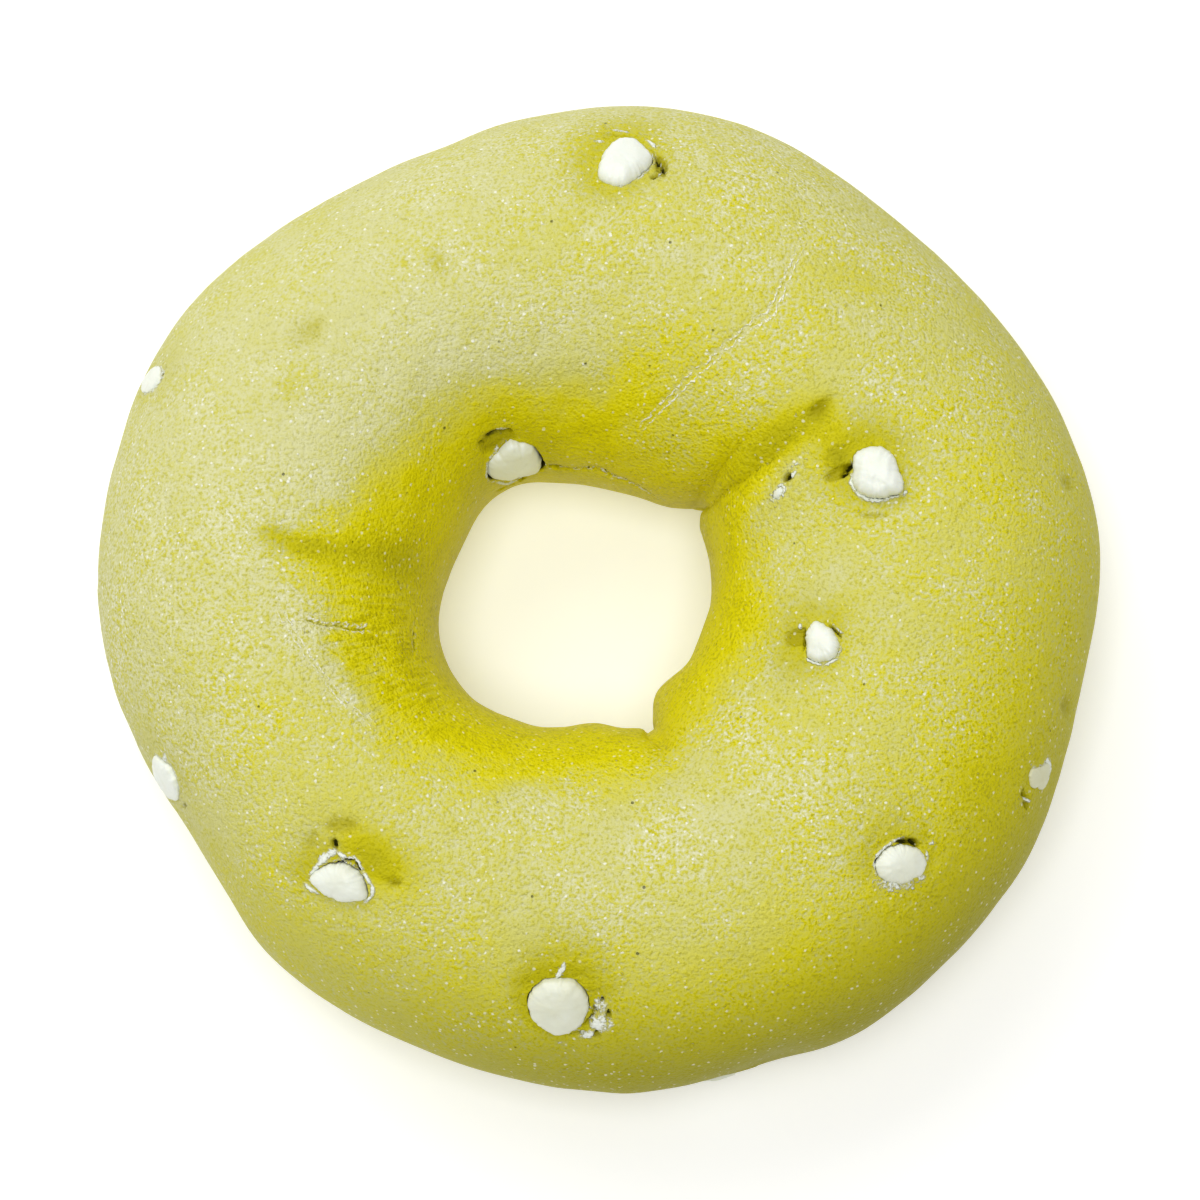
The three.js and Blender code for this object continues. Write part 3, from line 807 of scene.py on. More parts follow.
def chip_radius(chip, direction):
    """The chip's outline with fine chipping: its curve plus a few quick waves."""
    seed = sum(map(ord, chip["name"]))
    waves = np.random.default_rng(seed).uniform(0, 2 * math.pi, 7)
    chipping = sum(np.cos((7 + 5 * k) * direction * DEGREE + waves[k]) / (k + 2) for k in range(7))
    return round_curve(chip["outline"], direction) + 0.07 * chipping


def drawn_out(place, right, away, factor):
    """Right and away distances with those down the slope of the skin made longer."""
    across = (right * place.cosine + away * place.sine) * factor
    back = right * place.sine - away * place.cosine
    return back * place.sine + across * place.cosine, across * place.sine - back * place.cosine


def chip_plan(chip, place, right, away):
    """Distances as seen from above, which are shorter than on the skin by tall down its slope,
    then the direction from the chip's middle, and the distance over the outline's radius."""
    flat_right, flat_away = drawn_out(place, right, away, 1 / chip["tall"])
    direction = np.arctan2(flat_away, flat_right) / DEGREE
    share = np.hypot(flat_right, flat_away) / chip_radius(chip, direction)
    return flat_right, flat_away, direction, share


def pocket_rim(chip, direction):
    """Radius of the lip of the pocket over the chip's outline."""
    least, most, widest = chip["gap"]
    open_side = facing(direction, widest) ** 3
    ragged = 0.5 + 0.5 * value_noise(direction, direction * 0, 11, 5 + len(chip["name"]))
    seam = least + (most - least) * open_side * (0.4 + 0.9 * ragged)
    return 1 + seam / chip_radius(chip, direction)


def chip_pits(chip, right, away, past):
    """Depth of the hollows beside a chip, in mm, and how much painted shade darkens them."""
    depths = np.zeros_like(right)
    pits = np.zeros_like(right)
    for pit_right, pit_away, reach, reach_across, turned, depth in chip["pits"]:
        hollow = cup(right - pit_right, away - pit_away, reach, reach_across, turned)
        depths += depth * hollow * smooth(-0.1, 0.25, past)
        pits = np.maximum(pits, hollow * min(1.0, depth))
    return depths, pits


def chip_films(chip, right, away, direction, outside):
    """How much chocolate is smeared on the skin: its patches, and a fringe along the lip."""
    films = np.zeros_like(right)
    for film_right, film_away, reach, reach_across, turned, strength in chip["films"]:
        patch = hump(right - film_right, away - film_away, reach, reach_across, turned)
        films = np.maximum(films, strength * patch)
    fringe, fringe_side = chip["fringe"]
    torn = facing(direction, fringe_side) ** 1.5
    uneven = 0.8 + 0.25 * value_noise(right, away, 0.5, 29)
    torn = torn * np.exp(-((outside - 0.12) / 0.26) ** 2) * uneven
    return np.maximum(films, fringe * torn)


def chip_glow(chip, direction, outside):
    """The deep colour round a chip: a bell of the distance, broader and stronger to one side."""
    strength, glow_side, leaning = chip["glow"]
    side = facing(direction, glow_side)
    return strength * (1 - leaning + leaning * side) * np.exp(-(outside / (1.6 + 2.2 * side)) ** 2)


def add_chip_relief(chip, place, turn, lean, radius, height, paint):
    """The dough round one chip: a shallow dip, a raised torn lip at the rim and a pocket whose
    wall drops steeply inside it, with hollows and smears beside it."""
    right, away = place.offsets(turn, lean, radius)
    near = np.hypot(right, away) < chip["window"] + 6
    right, away, direction, share = chip_plan(chip, place, right[near], away[near])
    rim = pocket_rim(chip, direction)
    past = (share - rim) * chip_radius(chip, direction)  # mm outside the lip
    outside = np.maximum(past, 0)
    dip = -chip["dip"] * np.exp(-(outside / DIP_REACH) ** 2)
    ragged = 0.65 + 0.35 * value_noise(right, away, 0.55, 17)
    lip = chip["lip"] * ragged * np.exp(-((outside - LIP_TOP) / LIP_REACH) ** 2)
    drop = -(chip["deep"] + POCKET_SPARE) * smooth(rim, rim - POCKET_WALL, share)
    depths, pits = chip_pits(chip, right, away, past)
    films = chip_films(chip, right, away, direction, outside)
    smear = SMEAR_HEIGHT * smooth(0.3, 0.7, films) * smooth(0, 0.3, past)
    height[near] += dip + lip + drop - depths + smear
    glow = chip_glow(chip, direction, outside)
    inside = smooth(0.05, -0.12, past)
    # Painted shade: darker olive in the dip round the chip, and dark pit paint in the open seam and the
    # pocket inside the lip.
    painted = {
        "deep": np.maximum(glow, 0.9 * inside),
        "baked": 0.5 * glow,
        "pit": np.maximum(pits, inside),
        "film": films,
    }
    for name, values in painted.items():
        paint[name][near] = np.maximum(paint[name][near], values)


def base_paint(turn, lean, radius):
    """How much deep and baked colour the skin takes before the chips and creases. Deep is full
    on the wall of the hole, up to an edge that wanders round the ring, with a share on the crown
    and on the flank. The baked olive is painted shade, on the outer flank that faces away from the
    key lamp and in most tinted patches, in creases, dents and hollows. Leans are in degrees."""
    edge = round_curve(WALL_COLOUR_EDGE, turn)
    wander = 4 * value_noise(turn, lean * 1.2, 9, 3) + 2 * value_noise(turn, lean, 3.1, 4)
    wall = smooth(edge + 17, edge - 13, lean + wander)
    wall = np.where(lean < -100, 1.0, wall)
    crown = round_curve(CROWN_COLOUR, turn)
    flank = round_curve(FLANK_COLOUR, turn)
    outside = crown + (flank - crown) * smooth(2, 48, lean + wander)
    deep = np.maximum(wall, outside)
    # Painted shade: the outer flank darker towards the side that faces away from the key lamp.
    baked = round_curve(FLANK_PAINTED_SHADE, turn) * smooth(15, 80, lean) * smooth(179, 140, lean)
    # The tints' darker olive is mostly painted shade, in creases, dents and hollows.
    for bell, deeper, darker in bells(TINTS, turn, lean, radius):
        deep = deep + deeper * bell
        baked = baked + darker * bell
    return np.clip(deep, 0, 1), np.clip(baked, 0, 1)


def dough_detail(turn, lean, places):
    """Finished points of the dough in mm, and the paint values that its crust reads."""
    base = bare_skin(turn, lean)
    radius = np.hypot(base[:, 0], base[:, 1])
    showing = smooth(165, 128, np.abs(lean))
    lumps, dents = add_lumps(turn, lean, radius)
    creases, marks = add_creases(turn, lean, radius)
    arc = turn * radius * DEGREE
    slope = lean * LEAN_STEP
    uneven = 0.08 * value_noise(arc, slope, 5.0, 51) + 0.03 * value_noise(arc, slope, 2.2, 52)
    height = lumps + creases + uneven
    deep, baked = base_paint(turn, lean, radius)
    paint = {
        "deep": np.maximum(deep, np.maximum(0.8 * marks["valley"], 0.6 * dents)),
        "baked": baked,
        # Painted shade in the dents, through the pit paint.
        "pit": 0.5 * dents,
        "film": np.zeros_like(turn),
        "seam": marks["seam"],
        "crack": marks["crack"],
        "grainy": round_curve(GRAIN, turn),
        "strand": marks["strand"],
        "toast": smooth(1.6, 0.5, base[:, 2]),
        "stretch": (smooth(-8, -22, lean) * smooth(-72, -50, lean)
                    * smooth(34, 12, np.abs(signed(turn - 205)))),
    }
    for chip, place in zip(CHIPS, places):
        add_chip_relief(chip, place, turn, lean, radius, height, paint)
    points = base + outward(turn, lean) * (height * showing)[:, None]
    return points, paint


# ---------------------------------------------------------------- the mesh of the dough

def spread_lines(count, density):
    """Count places from -180 up to 180, closer together where density is high."""
    fine = np.linspace(-180, 180, 7201)
    weight = density(fine)
    total = np.concatenate([[0], np.cumsum((weight[1:] + weight[:-1]) / 2)])
    return np.interp(np.linspace(0, total[-1], count + 1)[:-1], total, fine)


def turn_density(turn):
    """How close the lines across the ring stand: closer where the detail is fine."""
    return 1 + sum(gain * np.exp(-(signed(turn - place) / reach) ** 2)
                   for place, reach, gain in FINE_TURNS)


def lean_density(lean):
    """How close the lines round the ring stand: further apart on the underside."""
    return COARSE_UNDER + (1 - COARSE_UNDER) * smooth(128, 104, np.abs(lean))


def window_of(place, window, turns, leans):
    """First and last grid lines of the square round a place that its rosette fills."""
    at = int(np.argmin(np.abs(signed(turns - place.turn))))
    row = int(np.argmin(np.abs(signed(leans - place.lean))))
    radius = float(np.hypot(*place.point[:2]))
    steps = np.arange(-WIDEST_WINDOW, WIDEST_WINDOW + 1)
    sideways = np.abs(signed(turns[(at + steps) % len(turns)] - place.turn)) * radius * DEGREE
    across = np.abs(signed(leans[(row + steps) % len(leans)] - place.lean)) * place.rate
    columns = at + steps[sideways < window]
    rows = row + steps[across < window]
    return columns[0], columns[-1], rows[0], rows[-1]


def rosette_rings(chip, place, edge_turn, edge_lean):
    """Rings of a rosette as turn and lean: lines drawn from the edge of its window to the lip of
    the pocket, crowded towards the lip, and on down the wall to the middle."""
    point = bare_skin(edge_turn, edge_lean)
    right, away = place.offsets(edge_turn, edge_lean, np.hypot(point[:, 0], point[:, 1]))
    direction, share = chip_plan(chip, place, right, away)[2:]
    lip = pocket_rim(chip, direction) / share
    steps = 1 - (1 - np.linspace(0, 1, RINGS_OUTSIDE + 1)[1:]) ** RING_CROWDING
    scales = [1 - t + t * lip for t in steps] + [lip * inner for inner in RINGS_INSIDE]
    turns, leans = zip(*(place.angles(right * scale, away * scale) for scale in scales))
    return np.array(turns), np.array(leans)


def rosette_faces(edge, first, ring_count):
    """Faces of a rosette: rows of quads from the edge of its window inwards, then a fan."""
    rings = np.arange(ring_count * edge.size).reshape(ring_count, edge.size) + first
    centre = np.full(edge.size, first + rings.size)
    loops = np.vstack([edge, rings])
    after = np.roll(loops, -1, axis=1)
    quads = np.stack([loops[:-1], loops[1:], after[1:], after[:-1]], -1).reshape(-1, 4)
    return quads, np.stack([loops[-1], centre, after[-1]], -1)


def dough_topology(places):
    """Turn and lean of every vertex, and the faces: a closed grid with a window cut for each
    chip and filled by its rosette, whose outer ring is the window's own edge."""
    turns = spread_lines(TURN_LINES, turn_density)
    leans = spread_lines(LEAN_LINES, lean_density)
    number = np.arange(TURN_LINES * LEAN_LINES).reshape(TURN_LINES, LEAN_LINES)
    kept_face = np.ones((TURN_LINES, LEAN_LINES), bool)
    kept_point = np.ones((TURN_LINES, LEAN_LINES), bool)
    all_turn = [np.repeat(turns, LEAN_LINES)]
    all_lean = [np.tile(leans, TURN_LINES)]
    quads = []
    fans = []
    total = number.size
    for chip, place in zip(CHIPS, places):
        left, right, low, high = window_of(place, chip["window"], turns, leans)
        columns = np.arange(left, right + 1) % TURN_LINES
        rows = np.arange(low, high + 1) % LEAN_LINES
        kept_face[np.ix_(columns[:-1], rows[:-1])] = False
        kept_point[np.ix_(columns[1:-1], rows[1:-1])] = False
        edge = np.concatenate([
            number[columns[:-1], rows[0]], number[columns[-1], rows[:-1]],
            number[columns[:0:-1], rows[-1]], number[columns[0], rows[:0:-1]]])
        ring_turn, ring_lean = rosette_rings(chip, place, all_turn[0][edge], all_lean[0][edge])
        new_quads, new_fan = rosette_faces(edge, total, len(ring_turn))
        quads.append(new_quads)
        fans.append(new_fan)
        all_turn += [ring_turn.ravel(), [place.turn]]
        all_lean += [ring_lean.ravel(), [place.lean]]
        total += ring_turn.size + 1
    beside = np.roll(number, -1, axis=0)
    above = np.roll(number, -1, axis=1)
    corner = np.roll(beside, -1, axis=1)
    grid = np.stack([number, above, corner, beside], -1)[kept_face]
    used = np.concatenate([kept_point.ravel(), np.ones(total - number.size, bool)])
    renumber = np.cumsum(used) - 1
    quads = renumber[np.concatenate([grid] + quads)]
    fans = renumber[np.concatenate(fans)]
    return np.concatenate(all_turn)[used], np.concatenate(all_lean)[used], quads, fans


def place_in_scene(name, data):
    """A new object in the scene, at the origin."""
    holder = bpy.data.objects.new(name, data)
    bpy.context.scene.collection.objects.link(holder)
    return holder


def mesh_piece(name, points, faces, material, body="root"):
    """A smooth closed piece from points in metres, riding on a body."""
    mesh = bpy.data.meshes.new(name)
    mesh.from_pydata(points.tolist(), [], faces)
    mesh.polygons.foreach_set("use_smooth", np.ones(len(mesh.polygons), bool))
    mesh.materials.append(material)
    mesh.update()
    piece = place_in_scene(name, mesh)
    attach(piece, body)
    return piece


def write_paint(mesh, paint):
    """Store paint values on the points of a mesh, for its material to read."""
    for name, values in paint.items():
        layer = mesh.attributes.new(name, "FLOAT", "POINT")
        layer.data.foreach_set("value", np.asarray(values, np.float32))


def whole_numbers(items, field):
    """One whole number from each corner or face of a mesh, as an array."""
    values = np.zeros(len(items), np.int32)
    items.foreach_get(field, values)
    return values


def write_map(mesh, name, across, up):
    """A UV map from one pair of values for each corner."""
    layer = mesh.uv_layers.new(name=name)
    layer.data.foreach_set("uv", np.stack([across, up], -1).astype(np.float32).ravel())


def write_maps(mesh, turn, lean):
    """Two maps of the skin. One unrolls the ring into two strips, with most of their height for
    the skin that shows. The other, for stretch marks, is plain turn and lean."""
    corners = whole_numbers(mesh.loops, "vertex_index")
    starts = whole_numbers(mesh.polygons, "loop_start")
    counts = whole_numbers(mesh.polygons, "loop_total")
    first = corners[np.repeat(starts, counts)]
    corner_turn = turn[first] + signed(turn[corners] - turn[first])
    corner_lean = lean[first] + signed(lean[corners] - lean[first])
    middle_turn = np.repeat(np.add.reduceat(corner_turn, starts) / counts, counts)
    far_half = middle_turn % 360 >= 180
    across = corner_turn - np.where(far_half, 180, 0) - 360 * np.floor(middle_turn / 360)
    height = np.interp(corner_lean, (-180, -110, 110, 180), (0.0, 0.12, 0.88, 1.0))
    margin = 0.006
    strip = np.where(far_half, 0.5, 0.0) + margin + (0.5 - 2 * margin) * height
    flat = margin + (1 - 2 * margin) * across / 180
    write_map(mesh, "OFBake", np.clip(flat, 0, 1), np.clip(strip, 0, 1))
    write_map(mesh, "skin", corner_turn / 360, corner_lean / 360)


# ---------------------------------------------------------------- materials

PAINTS = ("deep", "baked", "pit", "film", "seam", "crack", "strand", "grainy", "toast", "stretch")


def add_node(tree, kind, inputs=None, **settings):
    """A node with its settings. An input takes a plain value, a node, which gives its first
    output, or a (node, output) pair."""
    node = tree.nodes.new(kind)
    for key, value in settings.items():
        setattr(node, key, value)
    for key, value in (inputs or {}).items():
        if isinstance(value, bpy.types.Node):
            tree.links.new(value.outputs[0], node.inputs[key])
        elif isinstance(value, tuple) and isinstance(value[0], bpy.types.Node):
            tree.links.new(value[0].outputs[value[1]], node.inputs[key])
        else:
            node.inputs[key].default_value = value
    return node


def new_material(name):
    """An empty material, and add_node bound to its tree."""
    material = bpy.data.materials.new(name)
    material.use_nodes = True
    material.node_tree.nodes.clear()
    return material, partial(add_node, material.node_tree)


def noise_sizes(node, place):
    """Noise of four sizes, from grains of 0.32 mm to patches of 7 mm, with values about 0."""
    shifts = {}
    for name, size, detail in (
            ("fine", 0.32, 2.0), ("grain", 0.7, 2.0), ("blotch", 4.5, 4.0), ("patchy", 7.0, 2.0)):
        scale = 1 / (size * MM)
        noise = node("ShaderNodeTexNoise", {"Vector": place, "Scale": scale, "Detail": detail})
        shifts[name] = node("ShaderNodeMath", {0: noise, 1: 0.5}, operation="SUBTRACT")
    return shifts


def stretch_marks(node, paint):
    """Stretch marks: noise drawn out across the ring, 0.5 mm wide and some 4 mm long."""
    unrolled = node("ShaderNodeUVMap", uv_map="skin")
    drawn = node("ShaderNodeMapping", {"Vector": unrolled, "Scale": (270.0, 26.0, 1.0)})
    marks = node("ShaderNodeTexNoise", {
        "Vector": drawn, "Scale": 1.0, "Detail": 3.0, "Roughness": 0.6})
    marks = node("ShaderNodeMath", {0: marks, 1: 0.5}, operation="SUBTRACT")
    return node("ShaderNodeMath", {0: marks, 1: paint["stretch"]}, operation="MULTIPLY")


def grain_strength(node, paint, shifts):
    """How strongly the grain tears the bloom: in patches, and less where the crust is bare."""
    dusty = node("ShaderNodeMapRange", {
        "Value": paint["deep"], "From Min": 0.6, "To Min": 1.0, "To Max": 0.35})
    uneven = node("ShaderNodeMath", {0: shifts["patchy"], 1: 3.0, 2: 0.9}, operation="MULTIPLY_ADD")
    uneven = node("ShaderNodeMath", {0: uneven, 1: dusty}, operation="MULTIPLY")
    return node("ShaderNodeMath", {0: uneven, 1: paint["grainy"]}, operation="MULTIPLY")


def bloom_tones(node, paint, shifts, speckle, marks, colours):
    """The bloom gives way to bare crust where deep rises, in grains that are finer there."""
    uneven = grain_strength(node, paint, shifts)
    tone = node("ShaderNodeMath", {0: paint["deep"], 1: 0.52, 2: 0.3}, operation="MULTIPLY_ADD")
    for source, share in ((speckle, uneven), (shifts["blotch"], 0.26), (marks, 0.9)):
        tone = node("ShaderNodeMath", {0: source, 1: share, 2: tone}, operation="MULTIPLY_ADD")
    tones = node("ShaderNodeValToRGB", {"Fac": tone})
    stops = tones.color_ramp.elements
    stops[0].position = 0.0
    stops[0].color = (*colours.flour, 1)
    stops[1].position = 1.0
    stops[1].color = (*colours.olive, 1)
    for position, step in ((0.3, colours.bloom), (0.487, colours.skin), (0.794, colours.deep)):
        stops.new(position).color = (*step, 1)
    return tones


def torn_edges(node, paint, speckle):
    """Painted shade in the hollows, a lighter and a darker step, and smeared chocolate, their soft
    edges torn by the noise.
    """
    torn = {}
    for name, source, tearing, low, high in (
            ("shaded", "pit", 0.25, 0.08, 0.45), ("pit_shade", "pit", 0.3, 0.58, 0.8),
            ("smear", "film", 0.9, 0.3, 0.55), ("milk", "film", 0.2, 0.2, 0.7)):
        ragged = node("ShaderNodeMath", {0: speckle, 1: tearing, 2: paint[source]},
                      operation="MULTIPLY_ADD")
        torn[name] = node("ShaderNodeMapRange", {"Value": ragged, "From Min": low, "From Max": high})
    return torn


def crease_lines(node, paint, shifts, speckle):
    """Cracks 0.2 mm wide along the creases, whose dark is painted shade, with broken strands of torn
    skin 0.3 mm to both sides. Both waver, and the speckle breaks them up."""
    broken = node("ShaderNodeMapRange", {"Value": speckle, "From Min": -0.07, "From Max": 0.07})
    wavering = node("ShaderNodeMath", {0: shifts["grain"], 1: 0.9, 2: paint["seam"]},
                    operation="MULTIPLY_ADD")
    lines = {}
    for name, middle, half_width in (("crack", 0.0, 0.13), ("strand", 0.3, 0.14)):
        away = node("ShaderNodeMath", {0: wavering}, operation="ABSOLUTE")
        away = node("ShaderNodeMath", {0: away, 1: middle}, operation="SUBTRACT")
        away = node("ShaderNodeMath", {0: away}, operation="ABSOLUTE")
        line = node("ShaderNodeMapRange", {
            "Value": away, "From Min": half_width, "From Max": half_width / 3})
        for strength in (paint[name], broken):
            line = node("ShaderNodeMath", {0: line, 1: strength}, operation="MULTIPLY")
        lines[name] = line
    return lines


def flour_grains(node, place, paint, shifts):
    """Grains of flour: a ragged one in some cells of 0.8 mm, up to 0.4 mm across, in drifts, and
    fainter on bare crust."""
    cells = node("ShaderNodeTexVoronoi", {"Vector": place, "Scale": 1 / (0.8 * MM)})
    lottery = node("ShaderNodeSeparateColor", {"Color": (cells, 1)})
    drift = node("ShaderNodeMath", {0: shifts["patchy"], 1: 1.2, 2: lottery}, operation="MULTIPLY_ADD")
    chosen = node("ShaderNodeMapRange", {"Value": drift, "From Min": 0.34, "From Max": 0.7})
    uneven_edge = node("ShaderNodeMath", {0: shifts["fine"], 1: 0.5, 2: cells},
                       operation="MULTIPLY_ADD")
    grains = node("ShaderNodeMapRange", {"Value": uneven_edge, "From Min": 0.22, "From Max": 0.1})
    grains = node("ShaderNodeMath", {0: grains, 1: chosen}, operation="MULTIPLY")
    thinner = node("ShaderNodeMath", {0: paint["deep"], 1: -0.45, 2: 0.95}, operation="MULTIPLY_ADD")
    return node("ShaderNodeMath", {0: grains, 1: thinner}, operation="MULTIPLY")


def pinprick_pores(node, place, shifts):
    """Pinprick pores, darkened with painted shade: one in some cells of 3 mm."""
    spots = node("ShaderNodeTexVoronoi", {"Vector": place, "Scale": 1 / (3.0 * MM)})
    lottery = node("ShaderNodeSeparateColor", {"Color": (spots, 1)})
    picked = node("ShaderNodeMapRange", {"Value": (lottery, 1), "From Min": 0.5, "From Max": 0.7})
    pores = node("ShaderNodeMath", {0: shifts["fine"], 1: 0.06, 2: spots}, operation="MULTIPLY_ADD")
    pores = node("ShaderNodeMapRange", {"Value": pores, "From Min": 0.055, "From Max": 0.02})
    return node("ShaderNodeMath", {0: pores, 1: picked}, operation="MULTIPLY")


def tea_grains(node, paint, shifts):
    """Dark grains of tea in the crust."""
    tea = node("ShaderNodeMapRange", {"Value": shifts["fine"], "From Min": 0.04, "From Max": 0.2})
    bare = node("ShaderNodeMath", {0: paint["deep"], 1: -0.02, 2: 0.34}, operation="MULTIPLY_ADD")
    bare = node("ShaderNodeMath", {0: bare, 1: paint["grainy"]}, operation="MULTIPLY")
    return node("ShaderNodeMath", {0: tea, 1: bare}, operation="MULTIPLY")


def crust_material():
    """Baked green tea crust: a boiled and baked wheat dough has a dry satin skin with a fine
    grain, a pale bloom of flour that thins to bare green in grainy patches, scattered grains of
    flour and pinprick pores. The bloom keeps the crown pale, and bare crust glows yellow-green.
    Its painted attributes are soft, and noise tears their edges ragged and sharp. Painted shade
    darkens the flank away from the key lamp, the creases, dents and hollows, the seams round the
    chips, the cracks and the pores."""
    colours = bpy.context.scene.bagel_colours
    material, node = new_material("green_tea_crust")
    place = (node("ShaderNodeTexCoord"), "Object")
    paint = {name: (node("ShaderNodeAttribute", attribute_name=name), "Fac") for name in PAINTS}
    shifts = noise_sizes(node, place)
    marks = stretch_marks(node, paint)
    speckle = node("ShaderNodeMath", {0: shifts["grain"], 1: 0.7}, operation="MULTIPLY")
    speckle = node("ShaderNodeMath", {0: shifts["fine"], 1: 1.15, 2: speckle}, operation="MULTIPLY_ADD")
    coat = bloom_tones(node, paint, shifts, speckle, marks, colours)
    torn = torn_edges(node, paint, speckle)
    lines = crease_lines(node, paint, shifts, speckle)
    grains = flour_grains(node, place, paint, shifts)
    pores = pinprick_pores(node, place, shifts)
    tea = tea_grains(node, paint, shifts)
    # Of these layers, the first baked olive, the two darker steps in the hollows, the cracks and the pores
    # are painted shade; the tea grains, toast, flour, strands and chocolate are the crust's own.
    for share, strength, tint in (
            (paint["baked"], 0.86, colours.baked), (tea, 1.0, colours.baked),
            (torn["shaded"], 0.75, colours.shaded), (paint["toast"], 0.75, colours.toast),
            (grains, 1.0, colours.speck), (lines["strand"], 1.0, colours.speck),
            (torn["milk"], 0.28, colours.cream), (torn["smear"], 1.0, colours.cream),
            (torn["pit_shade"], 0.92, colours.shade), (lines["crack"], 0.9, colours.shade),
            (pores, 0.65, colours.shade)):
        amount = node("ShaderNodeMath", {0: share, 1: strength}, operation="MULTIPLY")
        mix = node("ShaderNodeMix", {"Factor": amount, 6: coat, 7: (*tint, 1.0)}, data_type="RGBA")
        coat = (mix, 2)
    relief = node("ShaderNodeMath", {0: marks, 1: 0.3}, operation="MULTIPLY")
    for source, height in (  # heights in mm
            (shifts["fine"], 0.22), (shifts["grain"], 0.2), (shifts["blotch"], 0.25),
            (grains, 0.07), (torn["smear"], 0.12), (lines["strand"], 0.05),
            (lines["crack"], -0.2), (pores, -0.2)):
        relief = node("ShaderNodeMath", {0: source, 1: height, 2: relief}, operation="MULTIPLY_ADD")
    bump = node("ShaderNodeBump", {"Height": relief, "Strength": 1.0, "Distance": 1.0 * MM})
    dull = node("ShaderNodeMapRange", {"Value": paint["deep"], "To Min": 0.72, "To Max": 0.52})
    shader = node("ShaderNodeBsdfPrincipled", {
        "Base Color": coat, "Normal": bump, "Roughness": dull, "Specular IOR Level": 0.12})
    node("ShaderNodeOutputMaterial", {"Surface": shader})
    return material


def chocolate_material():
    """White chocolate, softened and set again in the oven: creamy white with ivory clouds, a
    soft satin gloss and light that sinks a little way in, over a faintly dimpled face."""
    colours = bpy.context.scene.bagel_colours
    material, node = new_material("white_chocolate")
    place = (node("ShaderNodeTexCoord"), "Object")
    cloud = node("ShaderNodeTexNoise", {"Vector": place, "Scale": 1 / (2.4 * MM), "Detail": 3.0})
    dimple = node("ShaderNodeTexNoise", {"Vector": place, "Scale": 1 / (0.35 * MM), "Detail": 2.0})
    warm = (node("ShaderNodeAttribute", attribute_name="ivory"), "Fac")
    clouded = node("ShaderNodeMath", {0: cloud, 1: 0.5}, operation="SUBTRACT")
    warmth = node("ShaderNodeMath", {0: clouded, 1: 0.6, 2: warm}, operation="MULTIPLY_ADD",
                  use_clamp=True)
    mix = node("ShaderNodeMix", {
        "Factor": warmth, 6: (*colours.cream, 1.0), 7: (*colours.ivory, 1.0)}, data_type="RGBA")
    relief = node("ShaderNodeMath", {0: dimple, 1: 0.04}, operation="MULTIPLY")
    relief = node("ShaderNodeMath", {0: cloud, 1: 0.15, 2: relief}, operation="MULTIPLY_ADD")
    bump = node("ShaderNodeBump", {"Height": relief, "Strength": 1.0, "Distance": 1.0 * MM})
    shader = node("ShaderNodeBsdfPrincipled", {
        "Base Color": (mix, 2), "Normal": bump, "Roughness": 0.42, "Subsurface Weight": 0.2,
        "Subsurface Scale": 1.0 * MM, "Subsurface Radius": (1.0, 0.9, 0.7)})
    node("ShaderNodeOutputMaterial", {"Surface": shader})
    return material


def floor_material():
    """Opal acrylic light table, glowing a little, so that the floor stays plain and pale and the
    shadows on it are soft."""
    material, node = new_material("opal_light_table")
    shader = node("ShaderNodeBsdfPrincipled", {
        "Base Color": (*linear("#fdfdfc"), 1.0), "Roughness": 0.9,
        "Emission Color": (1.0, 1.0, 1.0, 1.0), "Emission Strength": 0.2})
    node("ShaderNodeOutputMaterial", {"Surface": shader})
    return material


# ---------------------------------------------------------------- operators

def cad_shift():
    """What moves the worked-out skin onto the CAD dough, in mm: the gap between their middles."""
    turn, lean = np.meshgrid(np.linspace(0, 360, 721), np.linspace(-180, 180, 181))
    points = bare_skin(turn.ravel(), lean.ravel())
    low, high = (np.array(corner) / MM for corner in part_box("dough_ring"))
    shift = (low + high) / 2 - (points.min(0) + points.max(0)) / 2
    return np.array([shift[0], shift[1], -points[:, 2].min()])


class BAGEL_OT_dough(bpy.types.Operator):
    """Make the ring of dough, with a pocket for every chip"""

    bl_idname = "bagel.dough"
    bl_label = "Dough Ring"

    def execute(self, context):
        places = [Place(chip["turn"], chip["lean"]) for chip in CHIPS]
        turn, lean, quads, fans = dough_topology(places)
        points, paint = dough_detail(turn, lean, places)
        points = (points + cad_shift()) * MM
        piece = mesh_piece("dough_skin", points, quads.tolist() + fans.tolist(), crust_material())
        write_paint(piece.data, paint)
        write_maps(piece.data, turn, lean)
        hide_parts("dough_ring")
        return {"FINISHED"}


